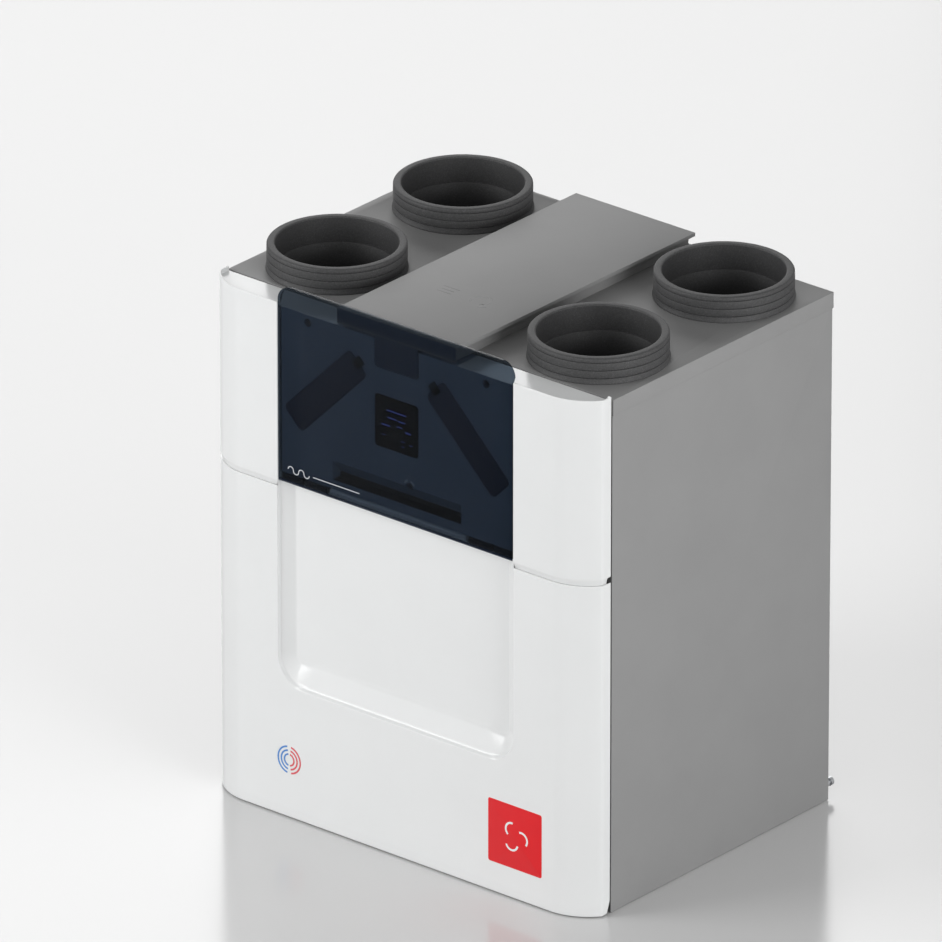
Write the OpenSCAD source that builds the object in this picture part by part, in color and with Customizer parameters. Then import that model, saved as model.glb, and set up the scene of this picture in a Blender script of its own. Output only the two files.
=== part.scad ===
// Heat recovery ventilation unit: four duct collars on top, a tilting smoked visor over the
// user panel and the filter drawers, and a cross-flow core with two radial fans inside.
// Millimetres. +Z is up, the front faces -Y, the origin is under the middle of the bounding box.

/* [Casing] */
// Overall width over the top cover's skirt
cover_w = 723; // [700:1:760]
// Height of the casing's flat top above the floor
casing_h = 810; // [800:1:830]
// Front edge of the grey casing, measured from the middle of the unit
casing_front_y = -229; // [-231:1:-227]
// Rear edge of the grey casing
casing_rear_y = 269; // [267:1:271]
// Sheet steel thickness
sheet_t = 1.5; // [1:0.5:2]
// Depth of the top cover's skirt
skirt_h = 25; // [15:1:30]

/* [White front] */
// Outer face of the white front
face_y = -284.5; // [-286:0.5:-283]
// Half width of the flat part of the front, where the corner curve starts
flat_half_w = 290.4; // [280:0.1:300]
// Radius of the front's corner curve
corner_r = 87; // [80:1:95]
// Wall thickness of the mouldings
wall_t = 3; // [2.5:0.5:3]
// Height of the front's rim
rim_z = 816; // [814:1:820]
// Height of the seam between the upper and lower front
seam_z = 525.2; // [500:0.1:530]
// Width of the set-back band above the seam
seam_band = 9.6; // [6:0.1:10]

/* [Visor and recess] */
// Half width of the visor
visor_half_w = 220.2; // [215:0.1:220.5]
// Lower edge of the visor
visor_bottom_z = 535.4; // [535:0.1:537]
// Upper edge of the visor
visor_top_z = 844; // [840:1:846]
// Corner radius at the top of the visor
visor_corner_r = 23; // [18:1:30]
// How far the visor's top edge turns back
visor_lip = 8; // [6:0.5:8]
// Depth of the recess in the lower front
recess_depth = 17; // [12:1:18]
// Width of the recess's coved wall
recess_cove = 22; // [15:1:24]
// Lower edge of the recess
recess_bottom_z = 211; // [180:1:215]
// Corner radius of the recess
recess_corner_r = 49; // [40:1:50]

/* [Duct collars] */
// Radius of the bore that takes the duct
duct_bore_r = 90; // [88:1:91]
// Outer radius of the collar
collar_r = 102.2; // [101:0.1:103]
// Height of the collar above the casing
collar_h = 40; // [38:1:42]
// Distance of the collars from the middle plane
collar_x = 245.4; // [243:0.1:247]
// Front row of collars
collar_front_y = -122; // [-123:1:-120]
// Rear row of collars
collar_rear_y = 161; // [158:1:163]

/* [Filters] */
// Middle of a filter cap, sideways
filter_x = 133.8; // [133:0.1:134.5]
// Middle of a filter cap, height
filter_z = 699.6; // [699:0.1:700.5]
// Length of a filter cap across its slope
cap_l = 176; // [174:1:178]
// Width of a filter cap
cap_w = 46; // [44:1:48]

/* [Fans] */
// Distance of the fans from the middle plane
fan_x = 195; // [190:1:198]
// Height of the fan axes
fan_z = 205; // [200:1:215]
// Radius of the impellers
impeller_r = 100; // [90:1:104]
// Number of impeller blades
blades = 7; // [5:1:9]

/* [Hidden] */
$fn = 64;
eps = 0.1;

// Casing
casing_half_w = cover_w / 2 - sheet_t;
panel_bottom_z = 1;
base_z = 3;
shell_rear_y = casing_front_y - 3;
top_sheet_z = casing_h - sheet_t;
service_half_w = 112;
service_wall_x = 101.5;
service_rear_y = 258;
service_top_z = 836.75;
service_lip_h = 5.5;
service_opening_x = 97;
service_opening_y = [-205, 246];

// White front
shell_half_w = casing_half_w;
corner_centre_y = face_y + corner_r;
flank_inner_x = visor_half_w + 1;
top_plate_z = casing_h - 0.5;
band_inset = 2;
shell_bottom_z = 2;
fascia_y = face_y + 5;
fascia_t = 2.5;
fascia_half_w = 217;
fascia_bottom_z = 549;
fascia_top_z = casing_h - 1;
notch_half_w = 41.5;
notch_bottom_z = 765.5;

// Visor hinge
visor_t = 3;
pin_r = 1.2;
pivot_y = face_y + 2.1;
pivot_z = visor_bottom_z + 2.1;
pivot_bead_r = 2.1;
recess_margin = 1.8;
pin_in_x = 196;
pin_out_x = flank_inner_x + 4.5;

// Insulation block
epp_half_w = 352;
epp_inner_x = 333;
epp_front = [-226, -196];
epp_rear = [232, 262];
epp_bottom_z = 6;
epp_floor_z = 60;
epp_top_z = 771.5;
epp_roof_z = 808;

// Collar
collar_step_z = casing_h + 2;
collar_inner_r = 84;
collar_tail_r = 100;
collar_tail_z = 772;
collar_base_r = 103.5;
collar_base_h = 9;
collar_groove = 1.2;

// Filters and exchanger
filter_slope = 45;
filter_front_y = -233;
filter_rear_y = 216;
core_half_w = 180;
core_tip_top = 765;
core_tip_bottom = 290;
core_apex_top = 785;
core_apex_bottom = 275;
core_front_y = -180;
core_rear_y = 216;

// Fans
fan_depth = 110;
exhaust_fan_y = collar_rear_y + fan_depth / 2;
supply_fan_y = collar_front_y - fan_depth / 2;
scroll_r = [112, 120, 128, 136];
outlet_w = 100;
outlet_top = 155;
scroll_wall = 3;
channel_bottom_z = fan_z + outlet_top + 0.5;
channel_bend_z = 700;

// Bypass
bypass_x = 260;
bypass_z = 515;
bypass_y = [0, 190];
bypass_half_w = 68;
bypass_wall = 8;
bypass_shaft_r = 4;

// Rear fittings
wall_y = 284.5;
spacer_x = 351.5;
spacer_z = 23;

// Drain
drain_y = 60;
drain_r = 20;

/* ---------- helpers ---------- */

// Extrudes an outline drawn as (x, z) from y0 to y1
module along_y(y0, y1) {
    translate([0, y1, 0]) rotate([90, 0, 0]) linear_extrude(y1 - y0) children();
}

// Box given by its two corners
module block(low, high) {
    translate(low) cube(high - low);
}

// Rectangle with round corners, centred
module rounded(w, h, r) {
    square([w - 2 * r, h], center = true);
    square([w, h - 2 * r], center = true);
    for (sx = [-1, 1], sy = [-1, 1])
        translate([sx * (w / 2 - r), sy * (h / 2 - r)]) circle(r);
}

// Cylinder along Y from y0 to y1 at (x, z)
module rod_y(x, z, y0, y1, r) {
    translate([x, y1, z]) rotate([90, 0, 0]) cylinder(h = y1 - y0, r = r);
}

// Cylinder along X from x0 to x1 at (y, z)
module rod_x(y, z, x0, x1, r) {
    translate([x0, y, z]) rotate([0, 90, 0]) cylinder(h = x1 - x0, r = r);
}

module mirrored() {
    children();
    mirror([1, 0, 0]) children();
}

/* ---------- casing ---------- */

module base_plate() {
    lip_h = 18;
    base_x = 356;
    front = -225;
    rear = 262;
    color("dimgray") difference() {
        block([-base_x, front, base_z], [base_x, rear, base_z + lip_h]);
        block([-base_x + sheet_t, front + sheet_t, base_z + sheet_t],
              [base_x - sheet_t, rear - sheet_t, base_z + lip_h + eps]);
        translate([0, drain_y, 0]) cylinder(h = 30, r = drain_r + 6);
    }
}

// Side sheet with an inward fold at the front and at the rear
module side_panel() {
    fold_front = 22;
    fold_rear = 12;
    outer = casing_half_w;
    top = casing_h - 2;
    skirt_gap = sheet_t + 0.3;
    skirt_z = casing_h - skirt_h - 0.5;
    block([outer - sheet_t, casing_front_y, panel_bottom_z], [outer, casing_rear_y - 1, skirt_z]);
    block([outer - sheet_t, casing_front_y + skirt_gap, skirt_z - eps],
          [outer, casing_rear_y - skirt_gap, top]);
    block([outer - fold_front, casing_front_y, panel_bottom_z + 20],
          [outer - sheet_t, casing_front_y + sheet_t, casing_h - skirt_h - 1]);
    block([outer - fold_rear, casing_rear_y - 5, panel_bottom_z + 20],
          [outer - sheet_t, casing_rear_y - 5 + sheet_t, casing_h - skirt_h - 1]);
}

module side_panel_right() {
    color("gray") side_panel();
}

module side_panel_left() {
    color("gray") mirror([1, 0, 0]) side_panel();
}

module rear_panel() {
    half_w = casing_half_w - sheet_t - 0.3;
    front = casing_rear_y - 3;
    slots = 5;
    slot_gap = 12;
    color("gray") difference() {
        block([-half_w, front, panel_bottom_z], [half_w, front + sheet_t, top_sheet_z - 0.3]);
        for (side = [-1, 1], i = [0:slots - 1])
            translate([side * 230, 0, 100 + i * slot_gap]) along_y(front - 1, front + 3)
                rounded(60, 4, 1.9);
        for (side = [-1, 1])
            rod_y(side * spacer_x, spacer_z, front - 1, front + 3, 4.2);
    }
}

module top_cover() {
    half_w = cover_w / 2;
    color("gray") difference() {
        block([-half_w, casing_front_y, casing_h - skirt_h], [half_w, casing_rear_y, casing_h]);
        block([-half_w + sheet_t, casing_front_y + sheet_t, casing_h - skirt_h - eps],
              [half_w - sheet_t, casing_rear_y - sheet_t, top_sheet_z]);
        for (sx = [-1, 1], y = [collar_front_y, collar_rear_y])
            translate([sx * collar_x, y, top_sheet_z - 1]) cylinder(h = 5, r = collar_tail_r + 0.5);
        block([-service_opening_x, service_opening_y[0], top_sheet_z - 1],
              [service_opening_x, service_opening_y[1], casing_h + 1]);
    }
}

// Raised cover over the electronics, with a turned-down lip and a tongue in the fascia's notch
module service_cover() {
    front = fascia_y + 0.2;
    plate_t = 2;
    flap_t = 2;
    tongue_half_w = notch_half_w - 1.2;
    color("gray") {
        difference() {
            block([-service_half_w, front, service_top_z - service_lip_h],
                  [service_half_w, service_rear_y, service_top_z]);
            block([-service_half_w + plate_t, front + flap_t, service_top_z - service_lip_h - eps],
                  [service_half_w - plate_t, service_rear_y - plate_t, service_top_z - plate_t]);
            for (side = [-1, 1])
                rod_y(side * 80, service_top_z - 3.2, service_rear_y - 3, service_rear_y + 1, 1.3);
        }
        mirrored() block([service_wall_x - sheet_t, front + flap_t, casing_h + 0.2],
                         [service_wall_x, service_rear_y - plate_t - 0.5, service_top_z - plate_t]);
        along_y(front, front + flap_t) {
            translate([-service_half_w, casing_h + 3.5])
                square([2 * service_half_w, service_top_z - service_lip_h - casing_h - 3]);
            translate([0, (notch_bottom_z + casing_h + 4) / 2 + 0.6])
                rounded(2 * tongue_half_w, casing_h + 4 - notch_bottom_z - 1.2, 6);
        }
    }
}

/* ---------- white front ---------- */

// Plan outline of the front moulding, set in by inset, running back to rear_y
module front_plan(inset, rear_y) {
    half_w = shell_half_w - inset;
    intersection() {
        translate([-half_w, face_y + inset]) square([2 * half_w, rear_y - face_y - inset]);
        union() {
            translate([-flat_half_w, face_y + inset]) square([2 * flat_half_w, rear_y - face_y]);
            for (side = [-1, 1])
                translate([side * flat_half_w, corner_centre_y]) circle(corner_r - inset, $fn = 180);
        }
    }
}

// Wall of the front moulding between two heights
module front_wall(z0, z1, inset) {
    translate([0, 0, z0]) linear_extrude(z1 - z0) difference() {
        front_plan(inset, shell_rear_y);
        front_plan(wall_t, shell_rear_y + 5);
    }
}

module front_flank() {
    plate_t = 2.5;
    notch = [7, 10];
    difference() {
        union() {
            intersection() {
                union() {
                    front_wall(seam_z + seam_band, rim_z, 0);
                    front_wall(seam_z + 0.6, seam_z + seam_band, band_inset);
                }
                block([flank_inner_x, face_y - 1, 0], [cover_w, shell_rear_y, 900]);
            }
            block([flank_inner_x, face_y + wall_t, seam_z + 0.6],
                  [flank_inner_x + wall_t, shell_rear_y, top_plate_z - plate_t]);
            intersection() {
                translate([0, 0, top_plate_z - plate_t]) linear_extrude(plate_t)
                    front_plan(wall_t - eps, shell_rear_y);
                block([flank_inner_x, face_y, 0], [cover_w, shell_rear_y, 900]);
            }
        }
        rod_x(pivot_y, pivot_z, flank_inner_x - 1, pin_out_x + 0.5, pin_r + 0.08);
        block([shell_half_w - 5, shell_rear_y - notch[0], seam_z + 0.5],
              [shell_half_w + 1, shell_rear_y + 1, seam_z + 0.5 + notch[1]]);
    }
}

module front_flank_right() {
    color("whitesmoke") front_flank();
}

module front_flank_left() {
    color("whitesmoke") mirror([1, 0, 0]) front_flank();
}

// Outline of one filter cap, turned to its slope; side is -1 on the left
module cap_outline(side, grow) {
    translate([side * filter_x, filter_z]) rotate(-side * filter_slope)
        rounded(cap_l + 2 * grow, cap_w + 2 * grow, 8 + grow);
}

module fascia_outline() {
    difference() {
        translate([-fascia_half_w, fascia_bottom_z])
            square([2 * fascia_half_w, fascia_top_z - fascia_bottom_z]);
        translate([0, (notch_bottom_z + casing_h + 20) / 2])
            rounded(2 * notch_half_w, casing_h + 20 - notch_bottom_z, 7);
    }
}

// Hand grip: a ramp that starts flush at the top and runs back to a slot
module grip_space(grow) {
    half_w = 121 + grow;
    top = 595 + grow;
    bottom = 563 - grow;
    back = 18 + grow;
    front = grow > 0 ? 0 : -1;
    translate([0, fascia_y, 0]) rotate([90, 0, 90]) translate([0, 0, -half_w])
        linear_extrude(2 * half_w)
            polygon([[front, top], [front, bottom], [back, bottom], [back, bottom + 8 + grow]]);
}

module front_fascia() {
    display_half_w = 41;
    boss_r = 8.5;
    boss_hole_r = 6.5;
    screw_at = [[-167, 796.7], [167, 796.7], [24, 593.5]];
    color("gainsboro") difference() {
        union() {
            along_y(fascia_y, fascia_y + fascia_t) fascia_outline();
            // side, top and bottom returns
            mirrored() block([fascia_half_w - 2, fascia_y + fascia_t - eps, fascia_bottom_z],
                             [fascia_half_w, shell_rear_y, fascia_top_z]);
            mirrored() block([notch_half_w, fascia_y + fascia_t - eps, fascia_top_z - fascia_t],
                             [fascia_half_w, shell_rear_y, fascia_top_z]);
            block([-fascia_half_w, fascia_y + fascia_t - eps, fascia_bottom_z],
                  [fascia_half_w, shell_rear_y, fascia_bottom_z + fascia_t]);
            for (at = screw_at)
                rod_y(at[0], at[1], fascia_y + 1, fascia_y + 13, boss_r);
            grip_space(2);
        }
        for (side = [-1, 1])
            along_y(fascia_y - 1, fascia_y + 10) cap_outline(side, 0.5);
        along_y(fascia_y - 1, fascia_y + fascia_t + 1)
            translate([0, 683]) rounded(2 * display_half_w, 83, 6);
        for (at = screw_at) {
            rod_y(at[0], at[1], fascia_y - 1, fascia_y + 10, boss_hole_r);
            rod_y(at[0], at[1], fascia_y + 9, fascia_y + 14, 2.2);
        }
        grip_space(0);
    }
}

// One slice of the recess's opening, used to shape its cove
module recess_slice(depth, grow, thickness) {
    angle = asin(min(1, depth / recess_depth));
    inset = recess_cove * (1 - cos(angle));
    half_w = visor_half_w + recess_margin - inset + grow;
    bottom = recess_bottom_z + inset - grow;
    r = recess_corner_r - inset + grow;
    top = seam_z + 40;
    translate([0, face_y + depth, 0]) along_y(0, thickness) {
        translate([-half_w, bottom + r]) square([2 * half_w, top - bottom - r]);
        translate([-half_w + r, bottom]) square([2 * half_w - 2 * r, r + 1]);
        for (side = [-1, 1])
            translate([side * (half_w - r), bottom + r]) circle(r, $fn = 48);
    }
}

module recess_form(grow) {
    steps = 9;
    hull() for (i = [0:steps])
        recess_slice(recess_depth * sin(90 * i / steps), grow, 0.05);
    recess_slice(0, grow - 0.01, 0.05);
}

module lower_front_panel() {
    lead = 20;
    floor_top = 533;
    rib_z = 14;
    color("whitesmoke") difference() {
        union() {
            front_wall(shell_bottom_z, seam_z, 0);
            intersection() {
                translate([0, wall_t, 0]) recess_form(wall_t);
                block([-shell_half_w + 5, face_y + 0.5, recess_bottom_z - 20],
                      [shell_half_w - 5, shell_rear_y, floor_top]);
                union() {
                    block([-400, -400, 0], [400, 0, seam_z]);
                    block([-flank_inner_x + 1, face_y + 10, 0], [flank_inner_x - 1, 0, floor_top]);
                }
            }
            // bottom tray of the moulding
            translate([0, 0, rib_z]) linear_extrude(wall_t)
                front_plan(wall_t - eps, shell_rear_y);
        }
        translate([0, -1, 0]) recess_slice(0, 0, 1.02);
        recess_form(0);
        mirrored() translate([shell_half_w, 0, 0]) rotate([90, 0, 90]) translate([0, 0, -wall_t - 1])
            linear_extrude(wall_t + 2) polygon([[shell_rear_y - 6, 0], [shell_rear_y + 1, 0],
                [shell_rear_y + 1, lead], [shell_rear_y, lead]]);
    }
}

// Dark strip in the shadow gap between the white front and the casing
module front_gasket() {
    color("black") mirrored()
        block([shell_half_w - 18, shell_rear_y + 0.2, 8], [shell_half_w - 3, casing_front_y - 0.2, 800]);
}

/* ---------- visor ---------- */

module visor_outline(inset) {
    w = 2 * visor_half_w - 2 * inset;
    r = visor_corner_r - inset;
    top = visor_top_z - inset;
    translate([-w / 2, pivot_z - 1]) square([w, top - r - pivot_z + 1]);
    translate([-w / 2 + r, top - r - 1]) square([w - 2 * r, r + 1]);
    for (side = [-1, 1])
        translate([side * (w / 2 - r), top - r]) circle(r);
}

module visor() {
    lip_t = 2.5;
    lip_bottom = rim_z - 4;
    bead_half_w = visor_half_w;
    color([0.13, 0.16, 0.22, 0.6]) difference() {
        union() {
            along_y(face_y, face_y + visor_t) visor_outline(0);
            intersection() {
                along_y(face_y, face_y + visor_lip) difference() {
                    visor_outline(0);
                    visor_outline(lip_t);
                }
                block([-300, face_y, lip_bottom], [300, 0, 900]);
            }
            rod_x(pivot_y, pivot_z, -bead_half_w, bead_half_w, pivot_bead_r);
        }
        for (side = [-1, 1])
            rod_x(pivot_y, pivot_z, side > 0 ? pin_in_x : -bead_half_w - 1,
                  side > 0 ? bead_half_w + 1 : -pin_in_x, pin_r);
    }
}

module visor_pivot_pins() {
    color("silver") {
        rod_x(pivot_y, pivot_z, pin_in_x, pin_out_x, pin_r);
        rod_x(pivot_y, pivot_z, -pin_out_x, -pin_in_x, pin_r);
    }
}

// Rounded rail and four blocks behind the visor's lower edge
module hinge_rail() {
    rail_half_w = 128;
    rail_r = 6.5;
    rail_y = face_y + 12;
    rail_z = 541;
    color("darkslategray") {
        rod_x(rail_y, rail_z, -rail_half_w, rail_half_w, rail_r);
        block([-rail_half_w, rail_y, rail_z - rail_r], [rail_half_w, rail_y + 12, rail_z + rail_r]);
        mirrored() {
            block([133, rail_y - 5, 534.5], [176, rail_y + 12, 548]);
            block([180, rail_y - 5, 534.5], [215, rail_y + 12, 548]);
        }
    }
}

/* ---------- fascia fittings ---------- */

module display_module() {
    color("dimgray") difference() {
        along_y(fascia_y + 1.2, fascia_y + 22) translate([0, 683]) rounded(80.6, 81.6, 5);
        along_y(fascia_y + 16, fascia_y + 30) translate([0, 683]) rounded(70, 60, 3);
    }
}

module display_window() {
    color("black") along_y(fascia_y - 0.4, fascia_y + 1.2) translate([0, 683])
        rounded(80.6, 81.6, 5);
}

module cap_screw(x, z, y) {
    head_r = 4.5;
    head_h = 3;
    shank_r = 2;
    difference() {
        union() {
            rod_y(x, z, y, y + head_h, head_r);
            rod_y(x, z, y + head_h - eps, y + head_h + 14, shank_r);
        }
        translate([x, y + 1.6, z]) rotate([90, 0, 0]) cylinder(h = 2, r = 2, $fn = 6);
    }
}

module cover_screws() {
    rear = service_rear_y;
    color("silver") {
        for (at = [[-167, 796.7], [167, 796.7], [24, 593.5]])
            cap_screw(at[0], at[1], fascia_y + 7);
        for (side = [-1, 1]) {
            rod_y(side * 80, service_top_z - 3.2, rear, rear + 1.8, 2.4);
            rod_y(side * 80, service_top_z - 3.2, rear - 4, rear + eps, 1.2);
        }
    }
}

// Filter cap: face plate, pull tab at its upper end and a plug behind
module filter_cap(side) {
    face = fascia_y - 0.5;
    tab = [17, 16];
    difference() {
        union() {
            along_y(face, face + 4) cap_outline(side, 0);
            along_y(face + 3, filter_front_y - 2) cap_outline(side, -3);
        }
        along_y(face - 1, face + 2.2) translate([side * filter_x, filter_z])
            rotate(-side * filter_slope) translate([-side * (cap_l / 2 - 5), 0])
                square([12, tab[1] + 2], center = true);
        along_y(face + 8, filter_front_y) translate([side * filter_x, filter_z])
            rotate(-side * filter_slope) rounded(cap_l - 16, cap_w - 16, 5);
    }
    along_y(face - 0.9, face + 0.2) translate([side * filter_x, filter_z])
        rotate(-side * filter_slope) translate([-side * (cap_l / 2 + 1), 0])
            square(tab, center = true);
    along_y(face - 0.9, face + 3) translate([side * filter_x, filter_z])
        rotate(-side * filter_slope) translate([-side * (cap_l / 2 - 5), 0])
            square([3, tab[1]], center = true);
}

module filter_cap_left() {
    color("slategray") filter_cap(-1);
}

module filter_cap_right() {
    color("slategray") filter_cap(1);
}

module filter_rect(side, w, h) {
    translate([side * filter_x, filter_z]) rotate(-side * filter_slope) square([w, h], center = true);
}

module filter_frame(side) {
    frame_l = cap_l - 12;
    frame_h = 28;
    border = 5;
    difference() {
        along_y(filter_front_y, filter_rear_y) filter_rect(side, frame_l, frame_h);
        along_y(filter_front_y + 8, filter_rear_y - 8) filter_rect(side, frame_l - 2 * border, frame_h + 2);
    }
    // front pull loop
    along_y(filter_front_y - 1.5, filter_front_y + eps) filter_rect(side, 60, 12);
}

module filter_frame_left() {
    color("white") filter_frame(-1);
}

module filter_frame_right() {
    color("white") filter_frame(1);
}

// Pleated filter medium: a row of thin folds across the slope
module filter_media(side) {
    inner_l = cap_l - 12 - 2 * 5 - 1;
    pleats = 14;
    pitch = inner_l / pleats;
    depth = 11;
    along_y(filter_front_y + 8.5, filter_rear_y - 8.5)
        translate([side * filter_x, filter_z]) rotate(-side * filter_slope)
            polygon(concat(
                [for (i = [0:2 * pleats]) [-inner_l / 2 + i * pitch / 2, (i % 2 == 0 ? -depth : depth) + 1]],
                [for (i = [2 * pleats:-1:0])
                    [-inner_l / 2 + i * pitch / 2, (i % 2 == 0 ? -depth : depth) - 1]]));
}

module filter_media_left() {
    color("ivory") filter_media(-1);
}

module filter_media_right() {
    color("ivory") filter_media(1);
}

/* ---------- duct collars ---------- */

// Foam collar turned around its axis: bore and stop inside, three grooves outside
module duct_collar(x, y) {
    top = casing_h + collar_h;
    lip = 3;
    groove_z = [casing_h + 9, casing_h + 21, casing_h + 33];
    translate([x, y, 0]) difference() {
        rotate_extrude($fn = 128) difference() {
            union() {
                translate([0, collar_tail_z]) square([collar_tail_r, casing_h - collar_tail_z]);
                translate([0, casing_h]) square([collar_base_r, collar_base_h]);
                translate([0, casing_h]) square([collar_r, collar_h - lip]);
                translate([0, casing_h]) square([collar_r - lip, collar_h]);
                translate([collar_r - lip, top - lip]) circle(lip, $fn = 32);
            }
            translate([-1, collar_tail_z - 1]) square([collar_inner_r + 1, collar_h + 80]);
            translate([0, collar_step_z]) square([duct_bore_r, collar_h]);
            for (z = groove_z)
                translate([collar_r + 0.2, z]) rotate(45) square(collar_groove, center = true);
        }
    }
}

module duct_collar_front_left() {
    color("darkslategray") duct_collar(-collar_x, collar_front_y);
}

module duct_collar_rear_left() {
    color("darkslategray") duct_collar(-collar_x, collar_rear_y);
}

module duct_collar_front_right() {
    color("darkslategray") duct_collar(collar_x, collar_front_y);
}

module duct_collar_rear_right() {
    color("darkslategray") duct_collar(collar_x, collar_rear_y);
}

/* ---------- insulation ---------- */

module epp_base() {
    color("darkslategray") difference() {
        block([-epp_half_w, epp_front[0] + 3, epp_bottom_z], [epp_half_w, epp_rear[1] - 3, epp_floor_z]);
        block([-58, epp_front[1] + 4, 30], [58, epp_rear[0] - 2, epp_floor_z + 1]);
        translate([0, drain_y, 0]) cylinder(h = 60, r = drain_r + 6);
    }
}

module epp_side_wall() {
    block([epp_inner_x, epp_front[1] + 0.5, epp_floor_z + 0.5],
          [epp_half_w, epp_rear[0] - 0.5, epp_top_z]);
}

module epp_right_wall() {
    color("darkslategray") epp_side_wall();
}

module epp_left_wall() {
    color("darkslategray") mirror([1, 0, 0]) epp_side_wall();
}

// Hexagon of the exchanger, grown for seats and seals
module core_outline(grow) {
    g = grow * 1.41421;
    w = core_half_w + grow;
    top = core_tip_top + grow;
    low = core_tip_bottom - grow;
    tip_top = core_apex_top + g - top;
    tip_low = low - core_apex_bottom + g;
    upper = core_apex_top + g - w;
    lower = core_apex_bottom - g + w;
    polygon([[-tip_top, top], [tip_top, top], [w, upper], [w, lower], [tip_low, low],
             [-tip_low, low], [-w, lower], [-w, upper]]);
}

// Room for the round drum at the top of an air channel
module drum_seat(x, y) {
    translate([x, y, channel_bend_z - 0.5])
        cylinder(h = epp_top_z - channel_bend_z + 1.5, r = collar_inner_r + scroll_wall + 0.5);
}

module epp_front_wall() {
    color("darkslategray") difference() {
        along_y(epp_front[0], epp_front[1]) translate([-epp_half_w, epp_floor_z + 0.5])
            square([2 * epp_half_w, epp_top_z - epp_floor_z - 0.5]);
        for (side = [-1, 1])
            along_y(epp_front[0] - 1, epp_front[1] + 1) cap_outline(side, -2);
        along_y(epp_front[1] - 8, epp_front[1] + 1) core_outline(2);
        // shallow pockets that lighten the moulding
        for (side = [-1, 1])
            along_y(epp_front[0] - 1, epp_front[0] + 12) translate([side * 200, 300])
                rounded(180, 300, 20);
        drum_seat(collar_x, collar_front_y);
    }
}

module epp_rear_wall() {
    color("darkslategray") difference() {
        along_y(epp_rear[0], epp_rear[1]) translate([-epp_half_w, epp_floor_z + 0.5])
            square([2 * epp_half_w, epp_top_z - epp_floor_z - 0.5]);
        drum_seat(-collar_x, collar_rear_y);
    }
}

module epp_top() {
    inner_x = service_half_w + 4;
    difference() {
        block([inner_x, epp_front[0], epp_top_z + 0.5], [epp_half_w, epp_rear[1], epp_roof_z]);
        for (y = [collar_front_y, collar_rear_y])
            translate([collar_x, y, epp_top_z - 1]) cylinder(h = 60, r = collar_tail_r + 0.4);
    }
}

module epp_top_right() {
    color("darkslategray") epp_top();
}

module epp_top_left() {
    color("darkslategray") mirror([1, 0, 0]) epp_top();
}

// Air channel from a fan's outlet up to the round drum under its collar
module channel_form(y, wall, low, high) {
    half_d = fan_depth / 2 - wall;
    x0 = fan_x + 36 + wall;
    x1 = fan_x + 136 - wall;
    block([x0, y - half_d, low], [x1, y + half_d, channel_bend_z + sheet_t + wall]);
    translate([collar_x, y, channel_bend_z + wall])
        cylinder(h = high - channel_bend_z - wall, r = collar_inner_r + scroll_wall - wall);
}

module air_channel(y) {
    difference() {
        channel_form(y, 0, channel_bottom_z, epp_top_z);
        channel_form(y, scroll_wall, channel_bottom_z - 1, epp_top_z + 1);
    }
}

module supply_channel() {
    color("slategray") air_channel(collar_front_y);
}

module exhaust_channel() {
    color("slategray") mirror([1, 0, 0]) air_channel(collar_rear_y);
}

/* ---------- heat exchanger ---------- */

// Stack of thin plates, held apart by a rail on each side
module heat_exchanger_core() {
    layers = 46;
    plate_t = 2;
    y0 = core_front_y + 8;
    pitch = (core_rear_y - core_front_y - 16 - plate_t) / (layers - 1);
    rail_x = core_half_w - 6;
    color("lightsteelblue") union() {
        for (i = [0:layers - 1])
            along_y(y0 + i * pitch, y0 + i * pitch + plate_t) core_outline(-4);
        mirrored() block([rail_x - 3, y0, 500], [rail_x, core_rear_y - 8, 560]);
    }
}

module exchanger_end_caps() {
    color("whitesmoke") {
        along_y(core_front_y - 23, core_front_y + 7) core_outline(0);
        along_y(core_rear_y - 7, core_rear_y + 15) core_outline(0);
    }
}

// Sealing strips along the exchanger's four edges
module exchanger_seals() {
    strip = 10;
    y0 = core_front_y + 8;
    y1 = core_rear_y - 8;
    color("black") for (side = [-1, 1])
        block([side > 0 ? core_half_w - 4 : -core_half_w - strip + 4, y0, 525],
              [side > 0 ? core_half_w + strip - 4 : -core_half_w + 4, y1, 535]);
}

/* ---------- fans ---------- */

// Spiral outline of the fan housing, with its outlet going up
module scroll_outline(inset) {
    for (i = [0:3])
        intersection() {
            circle(scroll_r[i] - inset, $fn = 128);
            rotate(90 * i) translate([-0.01, -0.01]) square(200);
        }
    translate([136 - outlet_w + inset, -0.01]) square([outlet_w - 2 * inset, outlet_top + 0.01]);
}

module fan_scroll() {
    inlet_r = 72;
    motor_seat_r = 30;
    difference() {
        along_y(0, fan_depth) scroll_outline(0);
        along_y(scroll_wall, fan_depth - scroll_wall) scroll_outline(scroll_wall);
        rod_y(0, 0, fan_depth - 5, fan_depth + 1, inlet_r);
        rod_y(0, 0, -1, 5, motor_seat_r);
        block([136 - outlet_w + scroll_wall, scroll_wall, outlet_top - 5],
              [136 - scroll_wall, fan_depth - scroll_wall, outlet_top + 1]);
    }
    // inlet nozzle
    translate([0, fan_depth - 1, 0]) rotate([90, 0, 0]) difference() {
        cylinder(h = 11, r = inlet_r + 2.5);
        translate([0, 0, -1]) cylinder(h = 13, r = inlet_r - 0.5);
    }
}

// Fixed half of the motor: flange, stator and shaft
module fan_motor() {
    rod_y(0, 0, 0, 4, 29.5);
    rod_y(0, 0, 4 - eps, 9, 40);
    rod_y(0, 0, 9 - eps, 44, 26);
    rod_y(0, 0, 44 - eps, 58, 4);
}

// One backward-curved blade, drawn as a slice of a ring
module blade_outline() {
    blade_r = 72;
    blade_t = 3;
    intersection() {
        translate([8, 66]) difference() {
            circle(blade_r);
            circle(blade_r - blade_t);
        }
        difference() {
            circle(impeller_r - 1);
            circle(50);
        }
        translate([0, -impeller_r]) square([impeller_r, impeller_r + 12]);
    }
}

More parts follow.
